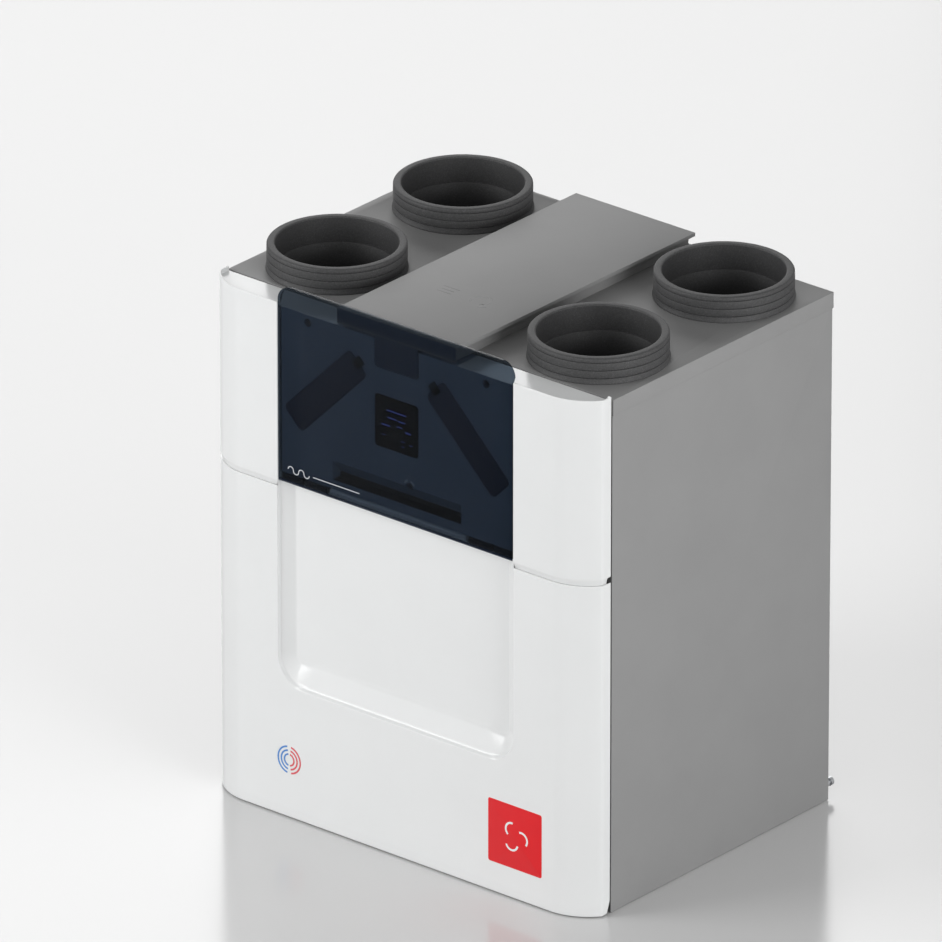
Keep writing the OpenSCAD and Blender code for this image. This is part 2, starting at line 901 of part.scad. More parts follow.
module impeller() {
    back = 16;
    front = 92;
    can_r = 34;
    shaft_bore = 4.06;
    ring_r = 66;
    difference() {
        union() {
            rod_y(0, 0, back, back + 3, impeller_r);
            rod_y(0, 0, back, 52, can_r);
            along_y(back + 3 - eps, front)
                for (i = [0:blades - 1]) rotate(360 * i / blades) blade_outline();
            difference() {
                rod_y(0, 0, front - 1, front + 2.5, impeller_r);
                rod_y(0, 0, front - 2, front + 4, ring_r);
            }
        }
        rod_y(0, 0, back - 1, 47, 29);
        rod_y(0, 0, 40, 60, shaft_bore);
    }
}

module place_supply_fan() {
    translate([fan_x, supply_fan_y, fan_z]) children();
}

module place_exhaust_fan() {
    translate([-fan_x, exhaust_fan_y, fan_z]) rotate([0, 0, 180]) children();
}

module supply_fan_scroll() {
    color("slategray") place_supply_fan() fan_scroll();
}

module exhaust_fan_scroll() {
    color("slategray") place_exhaust_fan() fan_scroll();
}

module supply_fan_motor() {
    color("silver") place_supply_fan() fan_motor();
}

module exhaust_fan_motor() {
    color("silver") place_exhaust_fan() fan_motor();
}

module supply_impeller() {
    color("gainsboro") place_supply_fan() impeller();
}

module exhaust_impeller() {
    color("gainsboro") place_exhaust_fan() impeller();
}

/* ---------- bypass ---------- */

module bypass_frame() {
    h = 15;
    color("slategray") difference() {
        block([bypass_x - bypass_half_w, bypass_y[0], bypass_z - h],
              [bypass_x + bypass_half_w, bypass_y[1], bypass_z + h]);
        block([bypass_x - bypass_half_w + bypass_wall, bypass_y[0] + bypass_wall, bypass_z - h - 1],
              [bypass_x + bypass_half_w - bypass_wall, bypass_y[1] - bypass_wall, bypass_z + h + 1]);
        rod_y(bypass_x, bypass_z, bypass_y[0] - 1, bypass_y[1] - 2, bypass_shaft_r + 0.06);
    }
}

module bypass_blade() {
    half_w = bypass_half_w - bypass_wall - 1.5;
    y0 = bypass_y[0] + bypass_wall + 1.5;
    y1 = bypass_y[1] - bypass_wall - 1.5;
    color("silver") difference() {
        union() {
            block([bypass_x - half_w, y0, bypass_z - 1.5], [bypass_x + half_w, y1, bypass_z + 1.5]);
            rod_y(bypass_x, bypass_z, y0, y1, bypass_shaft_r + 3);
        }
        rod_y(bypass_x, bypass_z, y0 - 1, y1 + 1, bypass_shaft_r);
    }
}

module bypass_shaft() {
    color("silver") rod_y(bypass_x, bypass_z, bypass_y[0] - 14, bypass_y[1] - 4, bypass_shaft_r);
}

module bypass_actuator() {
    front = bypass_y[0] - 38;
    rear = bypass_y[0] - 1;
    color("dimgray") difference() {
        union() {
            along_y(front, rear) translate([bypass_x, bypass_z]) rounded(64, 56, 6);
            for (side = [-1, 1])
                along_y(rear - 3, rear) translate([bypass_x + side * 38, bypass_z])
                    rounded(20, 16, 4);
        }
        rod_y(bypass_x, bypass_z, rear - 16, rear + 1, bypass_shaft_r + 0.06);
    }
}

/* ---------- condensate ---------- */

module condensate_tray() {
    wall = 2.5;
    half_w = 57;
    y0 = epp_front[1] + 5;
    y1 = epp_rear[0] - 3;
    tray_floor = 31;
    top = 72;
    color("gray") difference() {
        block([-half_w, y0, tray_floor], [half_w, y1, top]);
        block([-half_w + wall, y0 + wall, tray_floor + wall + 2], [half_w - wall, y1 - wall, top + 1]);
        translate([0, drain_y, tray_floor - 1]) cylinder(h = 10, r = drain_r - 4);
        translate([0, drain_y, tray_floor + wall - 0.5]) cylinder(h = 3, r1 = drain_r - 4, r2 = drain_r + 4);
    }
}

// Socket for the drain pipe, open at the underside
module drain_socket() {
    color("black") translate([0, drain_y, 0]) difference() {
        union() {
            translate([0, 0, 5]) cylinder(h = 25.8, r = drain_r + 4);
            translate([0, 0, 4.6]) cylinder(h = 1.2, r = drain_r + 5.4);
        }
        translate([0, 0, 4]) cylinder(h = 24, r = drain_r);
        translate([0, 0, 20]) cylinder(h = 20, r = drain_r - 4);
    }
}

/* ---------- electronics ---------- */

module electronics_tray() {
    half_w = service_opening_x - 0.5;
    y0 = service_opening_y[0] + 0.5;
    y1 = service_opening_y[1] - 0.5;
    floor_z = 782;
    t = 2;
    post = [80, 60];
    color("dimgray") {
        difference() {
            block([-half_w, y0, floor_z], [half_w, y1, casing_h + 4]);
            block([-half_w + t, y0 + t, floor_z + t], [half_w - t, y1 - t, casing_h + 5]);
        }
        for (sx = [-1, 1], y = [-150, 20, 160])
            translate([sx * post[0], y, floor_z + t - eps]) cylinder(h = 8, r = 4);
        // plate that carries the cable glands
        block([-half_w, y1 - t, casing_h + 4 - eps], [half_w, y1, service_top_z - 4]);
    }
}

module control_board() {
    z = 792;
    color("seagreen") block([-88, -165, z], [88, 175, z + 1.6]);
}

module board_components() {
    z = 793.6;
    heatsink_fins = 6;
    color("black") {
        for (i = [0:3])
            block([-78 + i * 24, -150, z], [-60 + i * 24, -122, z + 16]);
        for (i = [0:2])
            translate([40, -95 + i * 26, z]) cylinder(h = 24, r = 10);
        block([-70, -80, z], [-30, -40, z + 5]);
        block([-20, -60, z], [10, -36, z + 3]);
        block([-76, 10, z], [-30, 60, z + 22]);
        block([20, 5, z], [70, 9, z + 24]);
        for (i = [0:heatsink_fins - 1])
            block([20 + i * 9.2, 9 - eps, z], [24 + i * 9.2, 34, z + 24]);
    }
}

module terminal_blocks() {
    z = 793.6;
    ways = 8;
    pitch = 8;
    color("green") for (row = [-1, 1]) difference() {
        block([row * 44 - ways * pitch / 2, 120, z], [row * 44 + ways * pitch / 2, 145, z + 16]);
        for (i = [0:ways - 1])
            block([row * 44 - ways * pitch / 2 + i * pitch + 2, 119, z + 4],
                  [row * 44 - ways * pitch / 2 + i * pitch + 6, 130, z + 10]);
        for (i = [0:ways - 1])
            translate([row * 44 - ways * pitch / 2 + (i + 0.5) * pitch, 138, z + 10])
                cylinder(h = 8, r = 2.4);
    }
}

// Row of cable glands on the rear edge of the electronics tray
module cable_glands() {
    y = service_opening_y[1] - 0.5;
    z = 821.5;
    bore = 3.5;
    color("black") for (i = [-1:1]) difference() {
        union() {
            rod_y(i * 45, z, y, y + 4, 7.5);
            translate([i * 45, y + 9, z]) rotate([90, 0, 0]) cylinder(h = 5.1, r = 8, $fn = 6);
            rod_y(i * 45, z, y + 9 - eps, y + 16, 6);
        }
        rod_y(i * 45, z, y - 1, y + 20, bore);
    }
}

/* ---------- rear fittings ---------- */

// Hanging rail: a hat section with slotted wall holes
module wall_rail() {
    half_w = 300;
    web_y = wall_y - 2.5;
    low = 725;
    high = 780;
    rear = casing_rear_y - 1.5;
    hole_x = 250;
    color("silver") difference() {
        union() {
            block([-half_w, web_y, low], [half_w, wall_y, high]);
            block([-half_w, rear, high - 2.5], [half_w, web_y + eps, high]);
            block([-half_w, rear, low], [half_w, web_y + eps, low + 2.5]);
        }
        for (side = [-1, 1])
            rod_y(side * hole_x, (low + high) / 2, web_y - 1, wall_y + 1, 4.5);
    }
}

module wall_spacers() {
    rear = casing_rear_y - 3.3;
    nut_y = 271;
    color("silver") for (side = [-1, 1]) union() {
        rod_y(side * spacer_x, spacer_z, rear, 279, 4);
        rod_y(side * spacer_x, spacer_z, nut_y, nut_y + 4, 6);
        rod_y(side * spacer_x, spacer_z, 279 - eps, wall_y, 6.4);
    }
}

module rubber_feet() {
    color("darkgray") {
        for (sx = [-1, 1], y = [-200, 235])
            translate([sx * 320, y, 0]) cylinder(h = base_z, r = 16);
    }
}

base_plate();
side_panel_left();
side_panel_right();
rear_panel();
top_cover();
service_cover();
cover_screws();
front_flank_left();
front_flank_right();
front_fascia();
lower_front_panel();
front_gasket();
hinge_rail();
visor();
visor_pivot_pins();
display_module();
display_window();
filter_cap_left();
filter_cap_right();
filter_frame_left();
filter_frame_right();
filter_media_left();
filter_media_right();
duct_collar_front_left();
duct_collar_rear_left();
duct_collar_front_right();
duct_collar_rear_right();
epp_base();
epp_left_wall();
epp_right_wall();
epp_front_wall();
epp_rear_wall();
epp_top_left();
epp_top_right();
exhaust_channel();
supply_channel();
heat_exchanger_core();
exchanger_end_caps();
exchanger_seals();
exhaust_fan_scroll();
supply_fan_scroll();
exhaust_fan_motor();
supply_fan_motor();
exhaust_impeller();
supply_impeller();
bypass_frame();
bypass_blade();
bypass_shaft();
bypass_actuator();
condensate_tray();
drain_socket();
electronics_tray();
control_board();
board_components();
terminal_blocks();
cable_glands();
wall_rail();
wall_spacers();
rubber_feet();
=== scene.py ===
import math

import bmesh
import bpy
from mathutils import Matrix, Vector


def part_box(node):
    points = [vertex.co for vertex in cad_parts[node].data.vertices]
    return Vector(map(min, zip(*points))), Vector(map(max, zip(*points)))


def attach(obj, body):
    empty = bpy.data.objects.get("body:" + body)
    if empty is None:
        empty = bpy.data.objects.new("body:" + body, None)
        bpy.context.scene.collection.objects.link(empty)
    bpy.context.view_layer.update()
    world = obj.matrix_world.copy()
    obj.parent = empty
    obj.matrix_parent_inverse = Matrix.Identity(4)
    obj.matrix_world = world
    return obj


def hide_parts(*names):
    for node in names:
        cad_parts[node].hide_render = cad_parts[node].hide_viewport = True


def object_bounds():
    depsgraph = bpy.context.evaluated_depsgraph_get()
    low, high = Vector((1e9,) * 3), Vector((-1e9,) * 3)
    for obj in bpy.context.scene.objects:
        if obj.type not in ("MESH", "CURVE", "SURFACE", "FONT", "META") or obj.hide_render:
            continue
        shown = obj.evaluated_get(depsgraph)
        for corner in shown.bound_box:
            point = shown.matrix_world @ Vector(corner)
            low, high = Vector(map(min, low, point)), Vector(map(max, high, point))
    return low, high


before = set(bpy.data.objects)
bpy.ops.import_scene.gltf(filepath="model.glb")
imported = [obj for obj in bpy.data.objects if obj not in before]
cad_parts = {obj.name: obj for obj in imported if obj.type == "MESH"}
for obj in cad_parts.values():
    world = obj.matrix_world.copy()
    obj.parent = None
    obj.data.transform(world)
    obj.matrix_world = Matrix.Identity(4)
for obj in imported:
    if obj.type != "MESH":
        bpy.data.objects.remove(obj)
CAD_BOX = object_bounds()

# ---------- sizes, in metres, in the frame of the CAD model ----------

VISOR_LOW, VISOR_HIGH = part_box("visor")
LID_LOW, LID_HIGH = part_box("service_cover")
FLANK_LOW, FLANK_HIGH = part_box("front_flank_right")
LOWER_LOW, LOWER_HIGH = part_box("lower_front_panel")
DISPLAY_LOW, DISPLAY_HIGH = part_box("display_window")

FACE_Y = CAD_BOX[0].y
SHELL_Y = FACE_Y + 0.0003
FASCIA_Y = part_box("front_fascia")[0].y
CASING_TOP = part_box("top_cover")[1].z
FLAT_HALF_W = 0.2904
CORNER_R = 0.0869
SHELL_REAR_Y = FLANK_HIGH.y
SHELL_HALF_W = FLANK_HIGH.x
WALL = 0.003
RIM_Z = FLANK_HIGH.z
SEAM_Z = 0.5252
GROOVE_TOP = 0.5347
GROOVE_DEPTH = 0.0026
PLATE_Z = CASING_TOP - 0.0004
PLATE_T = 0.0025

RECESS_HALF_W = 0.2226
RECESS_BOTTOM = 0.2104
RECESS_R = 0.0498
RECESS_DEPTH = 0.017
RECESS_STEP = 0.0046
RECESS_STEP_W = 0.0021
RECESS_SLOPE = 0.62
RECESS_FILLET = 0.0014
RECESS_LOW_EASE = 0.46

FILTER_X = 0.1338
FILTER_Z = 0.6996
CAP_L = 0.176
CAP_W = 0.046
CAP_R = 0.009
FASCIA_SCREWS = ((-0.167, 0.7967), (0.167, 0.7967), (0.024, 0.5935))

# ---------- materials ----------


def new_material(name):
    material = bpy.data.materials.new(name)
    material.use_nodes = True
    tree = material.node_tree
    shader = tree.nodes["Principled BSDF"]
    return material, tree, shader


def add_node(tree, kind, **inputs):
    made = tree.nodes.new(kind)
    for key, value in inputs.items():
        made.inputs[key].default_value = value
    return made


def object_noise(tree, scale, detail=3.0):
    """A noise texture on the object's own coordinates, in metres."""
    where = tree.nodes.new("ShaderNodeTexCoord")
    noise = add_node(tree, "ShaderNodeTexNoise", Scale=scale, Detail=detail)
    tree.links.new(where.outputs["Object"], noise.inputs["Vector"])
    return noise


def ramp(tree, source, low, high, start=0.35, stop=0.65):
    """Spreads a value between two colours."""
    made = tree.nodes.new("ShaderNodeValToRGB")
    made.color_ramp.elements[0].position = start
    made.color_ramp.elements[0].color = low
    made.color_ramp.elements[1].position = stop
    made.color_ramp.elements[1].color = high
    tree.links.new(source, made.inputs["Fac"])
    return made


def span(tree, source, low, high):
    """Spreads a value between two numbers."""
    made = tree.nodes.new("ShaderNodeMapRange")
    made.inputs["To Min"].default_value = low
    made.inputs["To Max"].default_value = high
    tree.links.new(source, made.inputs["Value"])
    return made


def add_bump(tree, shader, source, strength, distance):
    """Lets a texture value raise and lower the surface."""
    bump = add_node(tree, "ShaderNodeBump", Strength=strength, Distance=distance)
    tree.links.new(source, bump.inputs["Height"])
    tree.links.new(bump.outputs["Normal"], shader.inputs["Normal"])


def shade(colour, factor):
    return tuple(min(1.0, c * factor) for c in colour[:3]) + (1.0,)


def surface(name, colour, roughness, grain=900.0, bump=0.0001, vary=0.04, specular=0.5, patch=9.0):
    """Painted, moulded or rolled surface: slow colour drift, fine grain and uneven gloss."""
    material, tree, shader = new_material(name)
    slow = object_noise(tree, patch)
    fine = object_noise(tree, grain, 2.0)
    tint = ramp(tree, slow.outputs["Fac"], shade(colour, 1 - vary), shade(colour, 1 + vary))
    tree.links.new(tint.outputs["Color"], shader.inputs["Base Color"])
    rough = span(tree, fine.outputs["Fac"], roughness * 0.85, roughness * 1.15)
    tree.links.new(rough.outputs["Result"], shader.inputs["Roughness"])
    shader.inputs["Specular IOR Level"].default_value = specular
    add_bump(tree, shader, fine.outputs["Fac"], 0.3, bump)
    return material


def bead_foam(name, colour, bead=330.0, depth=0.0002):
    """Bead-moulded foam: flattened beads, pits between them and pale specks."""
    material, tree, shader = new_material(name)
    where = tree.nodes.new("ShaderNodeTexCoord")
    beads = add_node(tree, "ShaderNodeTexVoronoi", Scale=bead)
    tree.links.new(where.outputs["Object"], beads.inputs["Vector"])
    specks = object_noise(tree, 700.0, 4.0)
    patches = object_noise(tree, 45.0, 3.0)
    base = ramp(tree, beads.outputs["Distance"], shade(colour, 1.12), shade(colour, 0.85), 0.1, 0.75)
    pale = ramp(tree, specks.outputs["Fac"], (0, 0, 0, 1), shade(colour, 1.4), 0.52, 0.72)
    mixed = tree.nodes.new("ShaderNodeMix")
    mixed.data_type = "RGBA"
    mixed.blend_type = "ADD"
    tree.links.new(patches.outputs["Fac"], mixed.inputs["Factor"])
    tree.links.new(base.outputs["Color"], mixed.inputs["A"])
    tree.links.new(pale.outputs["Color"], mixed.inputs["B"])
    tree.links.new(mixed.outputs["Result"], shader.inputs["Base Color"])
    shader.inputs["Roughness"].default_value = 0.62
    shader.inputs["Specular IOR Level"].default_value = 0.5
    add_bump(tree, shader, specks.outputs["Fac"], 0.5, depth)
    return material


def smoked(name, colour, tint, cover, roughness=0.06, specular=0.05):
    """Smoked clear plastic: its own dark colour over a tinted view through."""
    material, tree, shader = new_material(name)
    slow = object_noise(tree, 6.0)
    shades = ramp(tree, slow.outputs["Fac"], shade(colour, 0.95), shade(colour, 1.05))
    tree.links.new(shades.outputs["Color"], shader.inputs["Base Color"])
    fine = object_noise(tree, 60.0)
    rough = span(tree, fine.outputs["Fac"], roughness * 0.8, roughness * 1.2)
    tree.links.new(rough.outputs["Result"], shader.inputs["Roughness"])
    shader.inputs["Specular IOR Level"].default_value = specular
    clear = tree.nodes.new("ShaderNodeBsdfTransparent")
    clear.inputs["Color"].default_value = (*tint, 1.0)
    mixed = tree.nodes.new("ShaderNodeMixShader")
    mixed.inputs[0].default_value = cover
    tree.links.new(clear.outputs["BSDF"], mixed.inputs[1])
    tree.links.new(shader.outputs["BSDF"], mixed.inputs[2])
    tree.links.new(mixed.outputs["Shader"], tree.nodes["Material Output"].inputs["Surface"])
    return material


def brushed(name, colour, roughness, direction):
    """Rolled or drawn metal: long fine streaks along one direction."""
    material, tree, shader = new_material(name)
    where = tree.nodes.new("ShaderNodeTexCoord")
    stretch = tree.nodes.new("ShaderNodeMapping")
    stretch.inputs["Scale"].default_value = direction
    streaks = add_node(tree, "ShaderNodeTexNoise", Scale=60.0, Detail=4.0)
    tree.links.new(where.outputs["Object"], stretch.inputs["Vector"])
    tree.links.new(stretch.outputs["Vector"], streaks.inputs["Vector"])
    tint = ramp(tree, streaks.outputs["Fac"], shade(colour, 0.85), shade(colour, 1.1))
    tree.links.new(tint.outputs["Color"], shader.inputs["Base Color"])
    rough = span(tree, streaks.outputs["Fac"], roughness * 0.7, roughness * 1.3)
    tree.links.new(rough.outputs["Result"], shader.inputs["Roughness"])
    shader.inputs["Metallic"].default_value = 1.0
    add_bump(tree, shader, streaks.outputs["Fac"], 0.2, 0.0001)
    return material


def glowing(name, colour, strength):
    """A faintly lit marking."""
    material, tree, shader = new_material(name)
    fine = object_noise(tree, 400.0)
    tint = ramp(tree, fine.outputs["Fac"], shade(colour, 0.9), shade(colour, 1.1))
    tree.links.new(tint.outputs["Color"], shader.inputs["Base Color"])
    tree.links.new(tint.outputs["Color"], shader.inputs["Emission Color"])
    shader.inputs["Emission Strength"].default_value = strength
    return material


def pleated(name, colour, pitch):
    """Filter fleece: fine fibres in its colour, and a bump as deep as the given pitch."""
    material, tree, shader = new_material(name)
    fibres = object_noise(tree, 1500.0, 5.0)
    tint = ramp(tree, fibres.outputs["Fac"], shade(colour, 0.8), shade(colour, 1.05))
    tree.links.new(tint.outputs["Color"], shader.inputs["Base Color"])
    shader.inputs["Roughness"].default_value = 0.95
    shader.inputs["Sheen Weight"].default_value = 0.3
    add_bump(tree, shader, fibres.outputs["Fac"], 0.8, pitch)
    return material


WHITE = surface("white_moulding", (0.80, 0.81, 0.81), 0.2, grain=1300.0, bump=0.00004, vary=0.006)
CASING_GREY = surface("casing_grey", (0.25, 0.25, 0.25), 0.55, grain=1500.0, bump=0.00012, vary=0.02,
                      specular=0.35)
# same paint as the casing grey, made lighter: painted light for faces that face sideways
SIDE_GREY_PAINTED_LIGHT = surface("side_grey_painted_light", (0.28, 0.28, 0.28), 0.5, grain=1500.0, bump=0.00012, vary=0.02)
GALVANISED = brushed("galvanised", (0.55, 0.56, 0.57), 0.4, (1.0, 14.0, 1.0))
ZINC = brushed("zinc_steel", (0.62, 0.63, 0.65), 0.3, (6.0, 1.0, 6.0))
FOAM = bead_foam("epp_foam", (0.055, 0.055, 0.056))
# darker copy of the same foam for the collar bores: painted shade inside the ducts
FOAM_PAINTED_SHADE = bead_foam("epp_foam_inside_painted_shade", (0.036, 0.036, 0.037), depth=0.00005)
SMOKED = smoked("smoked_acrylic", (0.0022, 0.0024, 0.0028), (0.77, 0.88, 1.0), 0.633)
# lighter, nearly opaque copy of the smoked plastic: painted highlight along the visor's edge
EDGE_PAINTED_HIGHLIGHT = smoked("smoked_edge_painted_highlight", (0.03, 0.042, 0.07), (0.77, 0.88, 1.0), 0.96, roughness=0.12, specular=0.5)
FASCIA = surface("fascia_moulding", (0.245, 0.305, 0.395), 0.55, grain=1100.0, vary=0.02)
CAP = surface("cap_moulding", (0.055, 0.066, 0.115), 0.55, grain=1100.0, vary=0.03)
# darker than the cover: painted shade for the embossed marks on the raised cover
LID_MARK_PAINTED_SHADE = surface("lid_mark", (0.16, 0.16, 0.16), 0.5, grain=1500.0, vary=0.03)
# darker, bluer copy of the cover's grey steel: painted shade behind the visor
TONGUE = surface("cover_steel_painted_shade", (0.095, 0.12, 0.18), 0.5, grain=1500.0, bump=0.0001, vary=0.02)
BLACK_STEEL = surface("black_steel", (0.010, 0.012, 0.018), 0.4, grain=900.0, vary=0.1)
# grey plastic made paler to carry a painted highlight along the hinge roll
ROLL_PAINTED_HIGHLIGHT = surface("roll_plastic_painted_highlight", (0.60, 0.63, 0.68), 0.3, grain=900.0, vary=0.03)
DARK = surface("dark_plastic", (0.03, 0.034, 0.042), 0.35, grain=1000.0, vary=0.05)
BLACK_RUBBER = surface("black_rubber", (0.012, 0.012, 0.012), 0.75, grain=700.0, vary=0.1)
FOOT_RUBBER = surface("foot_rubber", (0.33, 0.35, 0.33), 0.7, grain=700.0, vary=0.05)
DISPLAY = surface("display_glass", (0.006, 0.006, 0.007), 0.08, grain=300.0, bump=0.00001, vary=0.05,
                  specular=0.3)
DISPLAY_BAR = glowing("display_bar", (0.16, 0.20, 0.75), 0.5)
PALE_MARK = surface("pale_mark", (0.75, 0.77, 0.80), 0.5, grain=900.0, vary=0.02)
GREY_PLASTIC = surface("grey_plastic", (0.12, 0.13, 0.14), 0.5, grain=900.0, vary=0.05)
PALE_PLASTIC = surface("pale_plastic", (0.62, 0.64, 0.66), 0.5, grain=900.0, vary=0.04)
EXCHANGER = surface("exchanger_film", (0.62, 0.70, 0.75), 0.25, grain=120.0, bump=0.0004, vary=0.06)
CARD = surface("filter_card", (0.72, 0.71, 0.66), 0.9, grain=500.0, bump=0.0003, vary=0.05)
FLEECE = pleated("filter_fleece", (0.62, 0.63, 0.60), 0.0006)
BOARD = surface("circuit_board", (0.015, 0.12, 0.05), 0.4, grain=250.0, bump=0.0002, vary=0.25, patch=160.0)
COMPONENT = surface("component_black", (0.02, 0.02, 0.022), 0.45, grain=600.0, vary=0.2)
TERMINAL = surface("terminal_green", (0.03, 0.25, 0.08), 0.45, grain=600.0, vary=0.05)
BADGE_RED = surface("badge_red", (0.74, 0.016, 0.022), 0.35, grain=1200.0, bump=0.00003, vary=0.02,
                    specular=0.25)
MARK_RED = surface("mark_red", (0.72, 0.10, 0.12), 0.4, grain=1200.0, vary=0.03)
MARK_BLUE = surface("mark_blue", (0.08, 0.25, 0.62), 0.4, grain=1200.0, vary=0.03)
MARK_WHITE = surface("mark_white", (0.85, 0.86, 0.86), 0.4, grain=1200.0, vary=0.01)

# ---------- mesh helpers ----------


def make_piece(name, shape, material, body, sharp=35.0):
    """A piece from (points, faces), smooth but for edges sharper than the given angle."""
    points, faces = shape
    mesh = bpy.data.meshes.new(name)
    mesh.from_pydata([tuple(p) for p in points], [], faces)
    mesh.validate()
    work = bmesh.new()
    work.from_mesh(mesh)
    bmesh.ops.remove_doubles(work, verts=work.verts, dist=0.000005)
    bmesh.ops.recalc_face_normals(work, faces=work.faces)
    work.to_mesh(mesh)
    work.free()
    for face in mesh.polygons:
        face.use_smooth = True
    mesh.set_sharp_from_angle(angle=math.radians(sharp))
    mesh.materials.append(material)
    piece = bpy.data.objects.new(name, mesh)
    bpy.context.collection.objects.link(piece)
    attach(piece, body)
    return piece


def loft(rings, closed=True, capped=False):
    """Points and quads through rings of equally many points, with a face over each end if capped."""
    count = len(rings[0])
    points = [p for ring in rings for p in ring]
    faces = []
    for row in range(len(rings) - 1):
        for i in range(count if closed else count - 1):
            j = (i + 1) % count
            here, above = row * count, (row + 1) * count
            faces.append((here + i, here + j, above + j, above + i))
    if capped:
        faces.append(tuple(range(count)))
        faces.append(tuple(range((len(rings) - 1) * count, len(rings) * count)))
    return points, faces


def join_shapes(shapes):
    """One list of points and faces from several."""
    points, faces = [], []
    for more_points, more_faces in shapes:
        start = len(points)
        points += list(more_points)
        faces += [tuple(start + i for i in face) for face in more_faces]
    return points, faces


def quarter(steps):
    """Angles from 0 to 90 degrees."""
    return [math.radians(90 * k / steps) for k in range(steps + 1)]


def circle(radius, steps):
    """Points of a circle about the origin."""
    angles = [2 * math.pi * i / steps for i in range(steps)]
    return [(radius * math.cos(a), radius * math.sin(a)) for a in angles]


def rounded_outline(width, height, radius, steps=6):
    """Corner points of a rectangle with round corners about the origin, anticlockwise."""
    outline = []
    for turn, (sx, sz) in enumerate(((1, 1), (-1, 1), (-1, -1), (1, -1))):
        for k in range(steps + 1):
            angle = math.radians(90 * turn + 90 * k / steps)
            outline.append((sx * (width / 2 - radius) + radius * math.cos(angle),
                            sz * (height / 2 - radius) + radius * math.sin(angle)))
    return outline


def turned(outline, angle, x, z):
    """The outline turned about the origin, then moved to (x, z)."""
    c, s = math.cos(angle), math.sin(angle)
    return [(x + px * c - pz * s, z + px * s + pz * c) for px, pz in outline]


def inset_outline(outline, distance):
    """The outline moved inwards, with mitred corners; it runs anticlockwise."""
    count = len(outline)
    moved = []
    for i in range(count):
        before, here, after = outline[i - 1], outline[i], outline[(i + 1) % count]
        d1 = Vector((here[0] - before[0], here[1] - before[1]))
        d2 = Vector((after[0] - here[0], after[1] - here[1]))
        if d1.length < 1e-9:
            d1 = d2
        if d2.length < 1e-9:
            d2 = d1
        d1.normalize()
        d2.normalize()
        n1, n2 = Vector((-d1.y, d1.x)), Vector((-d2.y, d2.x))
        n = n1 + n2
        scale = distance / max(0.2, 1 + n1.dot(n2))
        moved.append((here[0] + n.x * scale, here[1] + n.y * scale))
    return moved


def tablet(outline, y_front, y_back, bevel, steps=3):
    """A slab facing -Y from an (x, z) outline, with its front edge rounded."""
    rings = []
    for angle in quarter(steps):
        inner = inset_outline(outline, bevel * (1 - math.sin(angle)))
        y = y_front + bevel * (1 - math.cos(angle))
        rings.append([(x, y, z) for x, z in inner])
    rings.append([(x, y_back, z) for x, z in outline])
    return loft(rings, capped=True)


def lathe(profile, x, y, segments=160):
    """A shape turned about the vertical through (x, y) from a closed (radius, z) profile."""
    rings = []
    for i in range(segments):
        angle = 2 * math.pi * i / segments
        rings.append([(x + r * math.cos(angle), y + r * math.sin(angle), z) for r, z in profile])
    return loft(rings + [rings[0]])


def ring_arc(cx, cz, radius, width, start, end, y_front, thick=0.0004, steps=24):
    """A flat arc facing -Y between two angles in degrees."""
    angles = [math.radians(start + (end - start) * k / steps) for k in range(steps + 1)]
    outer, inner = radius + width / 2, radius - width / 2
    front = [(cx + outer * math.cos(a), y_front, cz + outer * math.sin(a)) for a in angles]
    front += [(cx + inner * math.cos(a), y_front, cz + inner * math.sin(a)) for a in reversed(angles)]
    back = [(x, y + thick, z) for x, y, z in front]
    return loft([front, back], capped=True)


def lathe_y(profile, x, z, segments=48):
    """A shape turned about a line along Y through (x, z) from a closed (radius, y) profile."""
    rings = []
    for i in range(segments + 1):
        angle = 2 * math.pi * i / segments
        rings.append([(x + r * math.cos(angle), y, z + r * math.sin(angle)) for r, y in profile])
    return loft(rings)


def softened(node, width, material, angle=30.0, segments=3):
    """The CAD node's own shape with its sharp edges rounded over."""
    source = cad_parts[node]
    mesh = source.data.copy()
    mesh.name = node + "_soft"
    work = bmesh.new()
    work.from_mesh(mesh)
    bmesh.ops.remove_doubles(work, verts=work.verts, dist=0.00001)
    bmesh.ops.dissolve_limit(work, angle_limit=math.radians(0.5), verts=work.verts, edges=work.edges)
    edges = [e for e in work.edges
             if len(e.link_faces) == 2 and e.calc_face_angle(0.0) > math.radians(angle)]
    bmesh.ops.bevel(work, geom=edges, offset=width, segments=segments, profile=0.5, affect="EDGES",
                    clamp_overlap=True)
    work.to_mesh(mesh)
    work.free()
    # large faces stay flat, so that only the rounding is shaded smoothly
    for face in mesh.polygons:
        face.use_smooth = face.area < 0.0001
    mesh.set_sharp_from_angle(angle=math.radians(40))
    mesh.materials.clear()
    mesh.materials.append(material)
    piece = bpy.data.objects.new(node + "_soft", mesh)
    bpy.context.collection.objects.link(piece)
    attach(piece, "casing")
    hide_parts(node)
    return piece


def spaced(*stretches):
    """Values that run through stretches given as (start, end, step)."""
    values = []
    for start, end, step in stretches:
        count = max(1, round(abs(end - start) / step))
        values += [start + (end - start) * i / count for i in range(count)]
    return values + [stretches[-1][1]]


# ---------- white front ----------


def front_path(inset):
    """Plan points of the front, moved inwards, from the end of its flat part round to the right rear."""
    radius = CORNER_R - inset
    centre_y = SHELL_Y + CORNER_R
    strip_x = SHELL_HALF_W - inset
    sweep = math.asin(min(1.0, (strip_x - FLAT_HALF_W) / radius))
    angles = [sweep * k / 24 for k in range(25)]
    points = [(FLAT_HALF_W + radius * math.sin(a), centre_y - radius * math.cos(a)) for a in angles]
    arc_end_y = points[-1][1]
    for k in range(1, 7):
        points.append((strip_x, arc_end_y + (SHELL_REAR_Y - arc_end_y) * k / 6))
    return points


